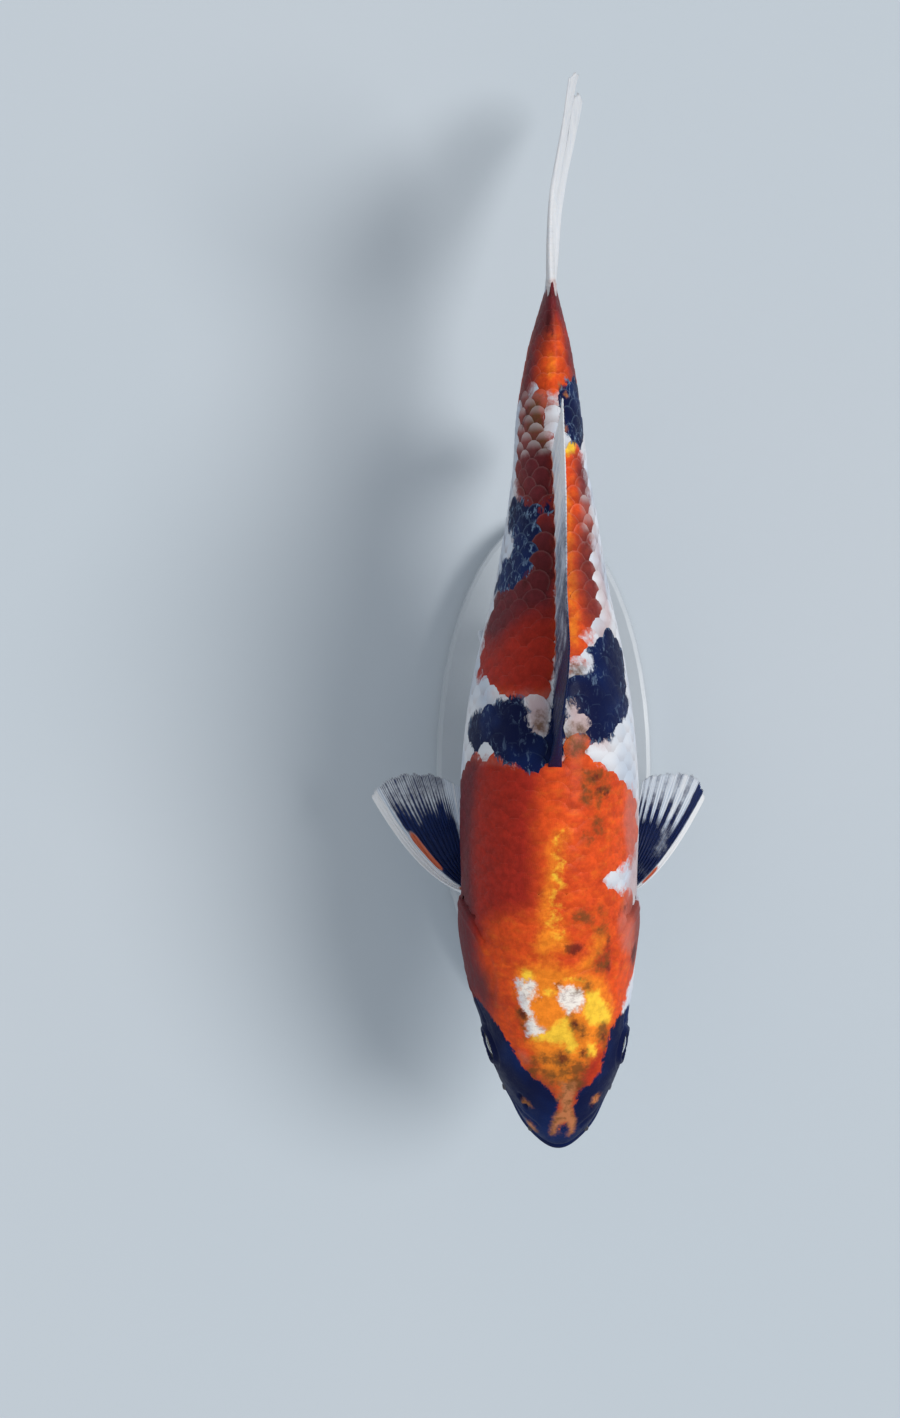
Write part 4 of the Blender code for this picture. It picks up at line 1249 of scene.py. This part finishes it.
finPaint = {
    "ray": (0.64, 0.68, 0.75),
    "web": (0.40, 0.47, 0.58),
    "white": (0.76, 0.76, 0.78),
    "black": (0.0022, 0.008, 0.050),
    "ember": (0.55, 0.12, 0.055),
    "smoothest": 0.33,
    "roughest": 0.48,
}


def finMaterial():
    material, shader = newMaterial("koiFin")
    place = objectPlace()
    ridge, along, clear, white = painted("fin")
    dark, ember = painted("finTint")[:2]
    fleck = grainNoise(place, 700, 4, 0.65)
    smear = grainNoise(place, 160, 3) - 0.5
    colour = mixed(ease(ridge, 0.15, 0.75), finPaint["web"], finPaint["ray"])
    colour = mixed(ease(white + smear * 0.4, 0.55, 0.85), colour, finPaint["white"])
    darkness = dark + smear * 0.55 + (fleck - 0.5) * 0.35
    darkness = ease(darkness, 0.18, 0.72) * ease(dark, 0.02, 0.12)
    colour = mixed(darkness, colour, finPaint["black"])
    joints = ease(calc("SINE", along * 210.0), 0.75, 1.0) * (ridge * -0.5)
    dress(shader, {
        "Base Color": mixed(ease(ember + smear * 0.3, 0.25, 0.6), colour, finPaint["ember"]),
        "Normal": bump(joints + fleck * 0.5 + ridge, 0.4, 0.0004),
        "Alpha": 1.0 - clear * ease(darkness, 0.3, 0.9, 1.0, 0.25),
        "Roughness": ease(fleck, 0.3, 0.7, finPaint["smoothest"], finPaint["roughest"]),
        "Specular IOR Level": 0.14,
        "Coat Weight": 0.03,
        "Coat Roughness": 0.25,
        "Subsurface Weight": 0.35,
        "Subsurface Radius": (1.0, 0.9, 0.8),
        "Subsurface Scale": 0.003,
    })
    return material


finFinish = finMaterial()
sideways = np.array([1.0, 0.0, 0.0])
for seed, (name, node, paint) in enumerate((
    ("dorsalFin", "dorsal_fin", dorsalPaint), ("analFin", "anal_fin", plainPaint),
)):
    plan = middleFins[name]
    makeFin(name, node, plan, middleFinAt(plan), sideways, paint, 3 + seed)


def fanAcross(endsAt):
    roots, tips = endsAt(np.array([0.0, 1.0]))
    normal = np.cross(*(tips - roots))
    return normal / np.linalg.norm(normal)


for side, word, paint in ((1, "left", leftPectoralPaint), (-1, "right", rightPectoralPaint)):
    plan = {**pectoralPlan, **pectoralPlan[word]}
    ends = pectoralAt(side, plan)
    makeFin("pectoralFin" + word.title(), "pectoral_fin_" + word,
            plan, ends, fanAcross(ends), paint, 7 + side)
    ends = pelvicAt(side, pelvicPlan)
    makeFin("pelvicFin" + word.title(), "pelvic_fin_" + word,
            pelvicPlan, ends, fanAcross(ends), plainPaint, 11 + side)

for word, way in (("Upper", 1), ("Lower", -1)):
    plan = {**tailPlan, "cup": tailCup(word, way)}
    makeFin("tailFin" + word, "tail_fin_" + word.lower(),
            plan, tailAt(word, way), sideways, tailPaint, 15 + way)


# eyes: a globe with a sunken iris and pupil under a clear cornea
eyePaint = {
    "pupil": (0.004, 0.004, 0.006),
    "iris": (0.10, 0.060, 0.020),
    "irisPale": (0.22, 0.15, 0.060),
    "irisDark": (0.016, 0.012, 0.014),
    "ring": (0.55, 0.36, 0.12),
    "rim": (0.006, 0.007, 0.014),
    "clear": (0.93, 0.95, 0.96),
    "clearWarm": (0.98, 0.98, 0.97),
    "limbus": (0.010, 0.012, 0.020),
    "irisEdge": 4.3,  # mm across from the axis
    "pupilEdge": 1.95,
}


def globePlaces(ball, polar, side, profile):
    # turns a unit ball's pole to the eye's axis and shapes it by a profile of (mm from the axis, mm forward)
    axis = np.array(eyePlan["axis"]) * (side, 1, 1)
    axis = axis / np.linalg.norm(axis)
    right = np.cross((0, 0, 1), axis)
    right = right / np.linalg.norm(right)
    up = np.cross(axis, right)
    ring = np.hypot(ball[:, 0], ball[:, 1])
    ring = np.where(ring < 1e-9, 1, ring)
    away, forward = profile(polar)
    across, over = (away * ball[:, i] / ring for i in (0, 1))
    centre = np.array(eyePlan["place"]) * (side, 1, 1)
    return centre + across[:, None] * right * side + over[:, None] * up + forward[:, None] * axis


def globeProfile(polar):
    radius = eyePlan["radius"]
    away, forward = radius * np.sin(polar), radius * np.cos(polar)
    front = polar < math.pi / 2
    dish = 0.85 * (1 - smoothStep(eyePaint["irisEdge"] - 0.7, eyePaint["irisEdge"] + 0.1, away)) * front
    flat = math.sqrt(radius**2 - eyePaint["irisEdge"] ** 2)
    forward = np.where(front & (away < eyePaint["irisEdge"]), np.minimum(forward, flat + 0.12) - dish * 0.4, forward)
    pupil = eyePaint["pupilEdge"]
    forward = forward - (1 - smoothStep(pupil - 0.25, pupil + 0.1, away)) * front
    return away, forward


def corneaProfile(polar):
    # a shallow dome that meets the globe at the iris's edge
    reach = np.clip(polar / math.pi, 0, 1)
    outer = reach < 0.5
    q = np.where(outer, reach / 0.5, (1 - reach) / 0.5)
    away = (eyePaint["irisEdge"] + 0.5) * np.sin(q * math.pi / 2)
    dome = np.sqrt(eyePlan["domeSquare"] - away**2) - eyePlan["domeSink"]
    return away, np.where(outer, dome, dome - eyePlan["corneaThickness"])


def eyeMaterial():
    material, shader = newMaterial("koiEye")
    away, turn = painted("eye")[:2]
    fine = grainNoise(objectPlace(), 1500, 4, 0.6)
    fibres = calc("SINE", turn * 260.0 + fine * 9.0)
    spot = away + (fine - 0.5) * 0.03
    iris = mixed(ease(fibres * 0.25 + fine, 0.3, 0.8), eyePaint["iris"], eyePaint["irisPale"])
    iris = mixed(ease(spot, 0.5, 0.66), iris, eyePaint["irisDark"])
    iris = mixed(ease(calc("ABSOLUTE", spot - 0.36), 0.03, 0.0), iris, eyePaint["ring"])
    colour = mixed(ease(spot, 0.325, 0.345), eyePaint["pupil"], iris)
    dress(shader, {
        "Base Color": mixed(ease(spot, 0.68, 0.73), colour, eyePaint["rim"]),
        "Normal": bump((fine + fibres * 0.3) * ease(spot, 0.33, 0.37), 0.3, 0.0003),
        "Roughness": 0.45,
        "Specular IOR Level": 0.1,
    })
    return material


def corneaMaterial():
    material, shader = newMaterial("koiCornea")
    haze = grainNoise(objectPlace(), 300, 2)
    tint = mixed(ease(haze, 0.3, 0.7), eyePaint["clear"], eyePaint["clearWarm"])
    dress(shader, {
        "Base Color": mixed(ease(painted("eye")[0], 0.74, 0.95), tint, eyePaint["limbus"]),
        "Transmission Weight": 1.0,
        "IOR": 1.2,
        "Roughness": ease(haze, 0.2, 0.8, 0.01, 0.03),
    })
    return material


eyeFinish, corneaFinish = eyeMaterial(), corneaMaterial()
for side, word in ((1, "Left"), (-1, "Right")):
    globe, ball, polar, turn = unitBall(64, 80)
    movePoints(globe, posed(globePlaces(ball, polar, side, globeProfile)))
    away = np.where(ball[:, 2] > 0, np.sin(polar), 1.0)
    storeColour(globe, "eye", away, 0.5 + turn / (2 * math.pi), 0.0)
    smoothOutward(globe)
    finishPiece(globe, "eye" + word, eyeFinish, ("eye_" + word.lower(),))
    cornea, ball, polar, turn = unitBall(48, 40)
    movePoints(cornea, posed(globePlaces(ball, polar, side, corneaProfile)))
    storeColour(cornea, "eye", np.sin(np.minimum(polar, math.pi - polar)), 0.0, 0.0)
    smoothOutward(cornea)
    finishPiece(cornea, "cornea" + word, corneaFinish, ())


# barbels: two at each side of the upper lip
barbelPlan = {
    "corner": {"radii": (1.0, 0.36), "sag": 5.0, "reach": {"left": (4.2, 6.8, -4.0), "right": (-1.6, 6.0, -6.2)}},
    "lip": {"radii": (0.7, 0.36), "sag": 1.4, "reach": (1.2, 2.2, -3.2)},
    "dark": (0.030, 0.026, 0.040),
    "pale": (0.30, 0.16, 0.10),
}


def upperSideX(share, z):
    rounding, back, widest, belly = levelsAt(share)
    height = back - widest if z > widest else widest - belly
    power = body["squareAbove"](share) if z > widest else body["squareBelow"](share)
    part = min(abs((z - widest) / height), 1)
    return float(body["length"] * body["halfWidth"](share) * rounding * (1 - part**power) ** (1 / power))


def makeBarbel(name, start, reach, sag, radii, node, material, seed):
    piece, _, polar, turn = unitBall(24, 60)
    t = polar / math.pi
    start, reach = np.array(start, float), np.array(reach, float)

    def line(t):
        t = np.asarray(t, float)[:, None]
        hang = np.array([0, 0, -1.0]) * sag * (t * t * 0.9 + 0.1 * t)
        return start + reach * t + hang - reach * (1 - t) * 0.12 * (t < 0.02)

    middle = line(t)
    ahead = line(np.clip(t + 0.01, 0, 1.01)) - line(np.clip(t - 0.01, -0.01, 1))
    ahead = ahead / np.linalg.norm(ahead, axis=1, keepdims=True)
    first = np.cross(ahead, (0.3, 0.1, 1.0))
    first = first / np.linalg.norm(first, axis=1, keepdims=True)
    second = np.cross(ahead, first)
    radius = (radii[0] + (radii[1] - radii[0]) * t**0.8) * (1 + 0.06 * np.sin(t * 60 + seed))
    radius = radius * np.sqrt(np.clip(1 - np.clip((t - 0.94) / 0.06, 0, 1) ** 2, 0, 1))
    radius = radius * np.where(t < 1e-6, 0, 1) + 0.5 * hump(t, 0.10) * (t > 1e-6)
    straight = middle + (radius * np.cos(turn))[:, None] * first + (radius * np.sin(turn))[:, None] * second
    movePoints(piece, posed(straight))
    storeColour(piece, "barbel", t, 0.0, 0.0, 1.0)
    smoothOutward(piece)
    finishPiece(piece, name, material, (node,))


def barbelMaterial():
    material, shader = newMaterial("koiBarbel")
    fine = grainNoise(objectPlace(), 900, 4, 0.6)
    towardsTip = ease(painted("barbel")[0] + fine * 0.3, 0.35, 0.95)
    dress(shader, {
        "Base Color": mixed(towardsTip, barbelPlan["dark"], barbelPlan["pale"]),
        "Normal": bump(fine, 0.4, 0.0003),
        "Roughness": ease(fine, 0.3, 0.7, 0.34, 0.48),
        "Coat Weight": 0.2,
    })
    return material


barbelFinish = barbelMaterial()
for side, word in ((1, "left"), (-1, "right")):
    z = mouthPlan["corner"][1] + 2.2
    start = (side * (upperSideX(0.07, z) - 0.6), 0.07 * body["length"], z)
    plan = barbelPlan["corner"]
    makeBarbel("barbelCorner" + word.title(), start, plan["reach"][word], plan["sag"], plan["radii"],
               "barbel_corner_" + word, barbelFinish, 1 + side)
    plan = barbelPlan["lip"]
    start = (side * (upperSideX(0.022, -5.0) - 0.5), 0.022 * body["length"], -5.0)
    reach = (side * plan["reach"][0], plan["reach"][1], plan["reach"][2])
    makeBarbel("barbelLip" + word.title(), start, reach, plan["sag"], plan["radii"],
               "barbel_lip_" + word, barbelFinish, 4 + side)


# stand: the CAD's own base and rods, given their finishes
standPaint = {
    "lacquer": (0.50, 0.54, 0.58),
    "lacquerWarm": (0.46, 0.50, 0.54),
    "dust": (0.40, 0.43, 0.46),
    "steel": (0.58, 0.58, 0.57),
    "steelDark": (0.46, 0.46, 0.46),
}


def lacquerMaterial():
    material, shader = newMaterial("standLacquer")
    place = objectPlace()
    cloud = grainNoise(place, 22, 3)
    colour = mixed(ease(cloud, 0.3, 0.7), standPaint["lacquer"], standPaint["lacquerWarm"])
    dress(shader, {
        "Base Color": mixed(ease(cells(place, 420), 0.03, 0.06), standPaint["dust"], colour),
        "Normal": bump(grainNoise(place, 900, 2), 0.12, 0.0003),
        "Roughness": ease(cloud, 0.3, 0.7, 0.3, 0.4),
    })
    return material


def steelMaterial():
    material, shader = newMaterial("standSteel")
    turned = grainNoise(stretched(objectPlace(), (40, 40, 4000)), 1.0, 3)
    dress(shader, {
        "Base Color": mixed(ease(turned, 0.3, 0.7), standPaint["steel"], standPaint["steelDark"]),
        "Metallic": 1.0,
        "Roughness": ease(turned, 0.3, 0.7, 0.22, 0.38),
        "Normal": bump(turned, 0.15, 0.0001),
    })
    return material


standFinishes = {"stand_base": lacquerMaterial(), "stand_rod_front": steelMaterial()}
standFinishes["stand_rod_rear"] = standFinishes["stand_rod_front"]
for node, finish in standFinishes.items():
    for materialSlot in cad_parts[node].material_slots:
        materialSlot.material = finish
print("stand finished")


# floor, lights and camera
stagePlan = {
    "floor": 40.0,
    "floorColour": (0.56, 0.61, 0.66),
    "floorCloud": (0.54, 0.60, 0.655),
    "world": (0.90, 0.95, 1.0),
    "worldStrength": 0.49,
    "cameraPlace": (-0.0323, 0.0199, 1.326),
    "lens": 97.35,
    "sensor": 36.0,
    "target": (0.0, 0.02, 0.08),
    "suns": (  # name, place, power, spread in degrees, colour
        ("key", (0.95, 0.05, 1.25), 1.9, 28, (1.0, 0.985, 0.96)),
        ("fill", (-0.6, -0.8, 0.9), 0.25, 80, (0.92, 0.96, 1.0)),
    ),
}


def floorMaterial():
    material, shader = newMaterial("paleFloor")
    cloud = ease(grainNoise(objectPlace(), 3, 2), 0.3, 0.7)
    dress(shader, {"Base Color": mixed(cloud, stagePlan["floorColour"], stagePlan["floorCloud"]), "Roughness": 0.7})
    return material


deselectAll()
bpy.ops.mesh.primitive_plane_add(size=stagePlan["floor"], location=(0, 0, 0))
floor = bpy.context.object
floor.name = "floor"
floor.data.materials.append(floorMaterial())


for name, place, power, spread, colour in stagePlan["suns"]:
    data = bpy.data.lights.new(name, "SUN")
    data.angle = math.radians(spread)
    data.energy = power
    data.color = colour
    light = bpy.data.objects.new(name, data)
    light.location = place
    light.rotation_euler = (Vector(stagePlan["target"]) - Vector(place)).to_track_quat("-Z", "Y").to_euler()
    bpy.context.scene.collection.objects.link(light)

world = bpy.data.worlds.new("studio")
world.use_nodes = True
sky = world.node_tree.nodes["Background"]
sky.inputs[0].default_value = (*stagePlan["world"], 1)
sky.inputs[1].default_value = stagePlan["worldStrength"]
bpy.context.scene.world = world
bpy.context.scene.view_settings.view_transform = "Standard"

camera = bpy.data.objects.new("camera", bpy.data.cameras.new("camera"))
camera.data.sensor_fit = "VERTICAL"
camera.data.sensor_height = stagePlan["sensor"]
camera.data.lens = stagePlan["lens"]
camera.location = stagePlan["cameraPlace"]
bpy.context.scene.collection.objects.link(camera)
bpy.context.scene.camera = camera
print("stage ready")
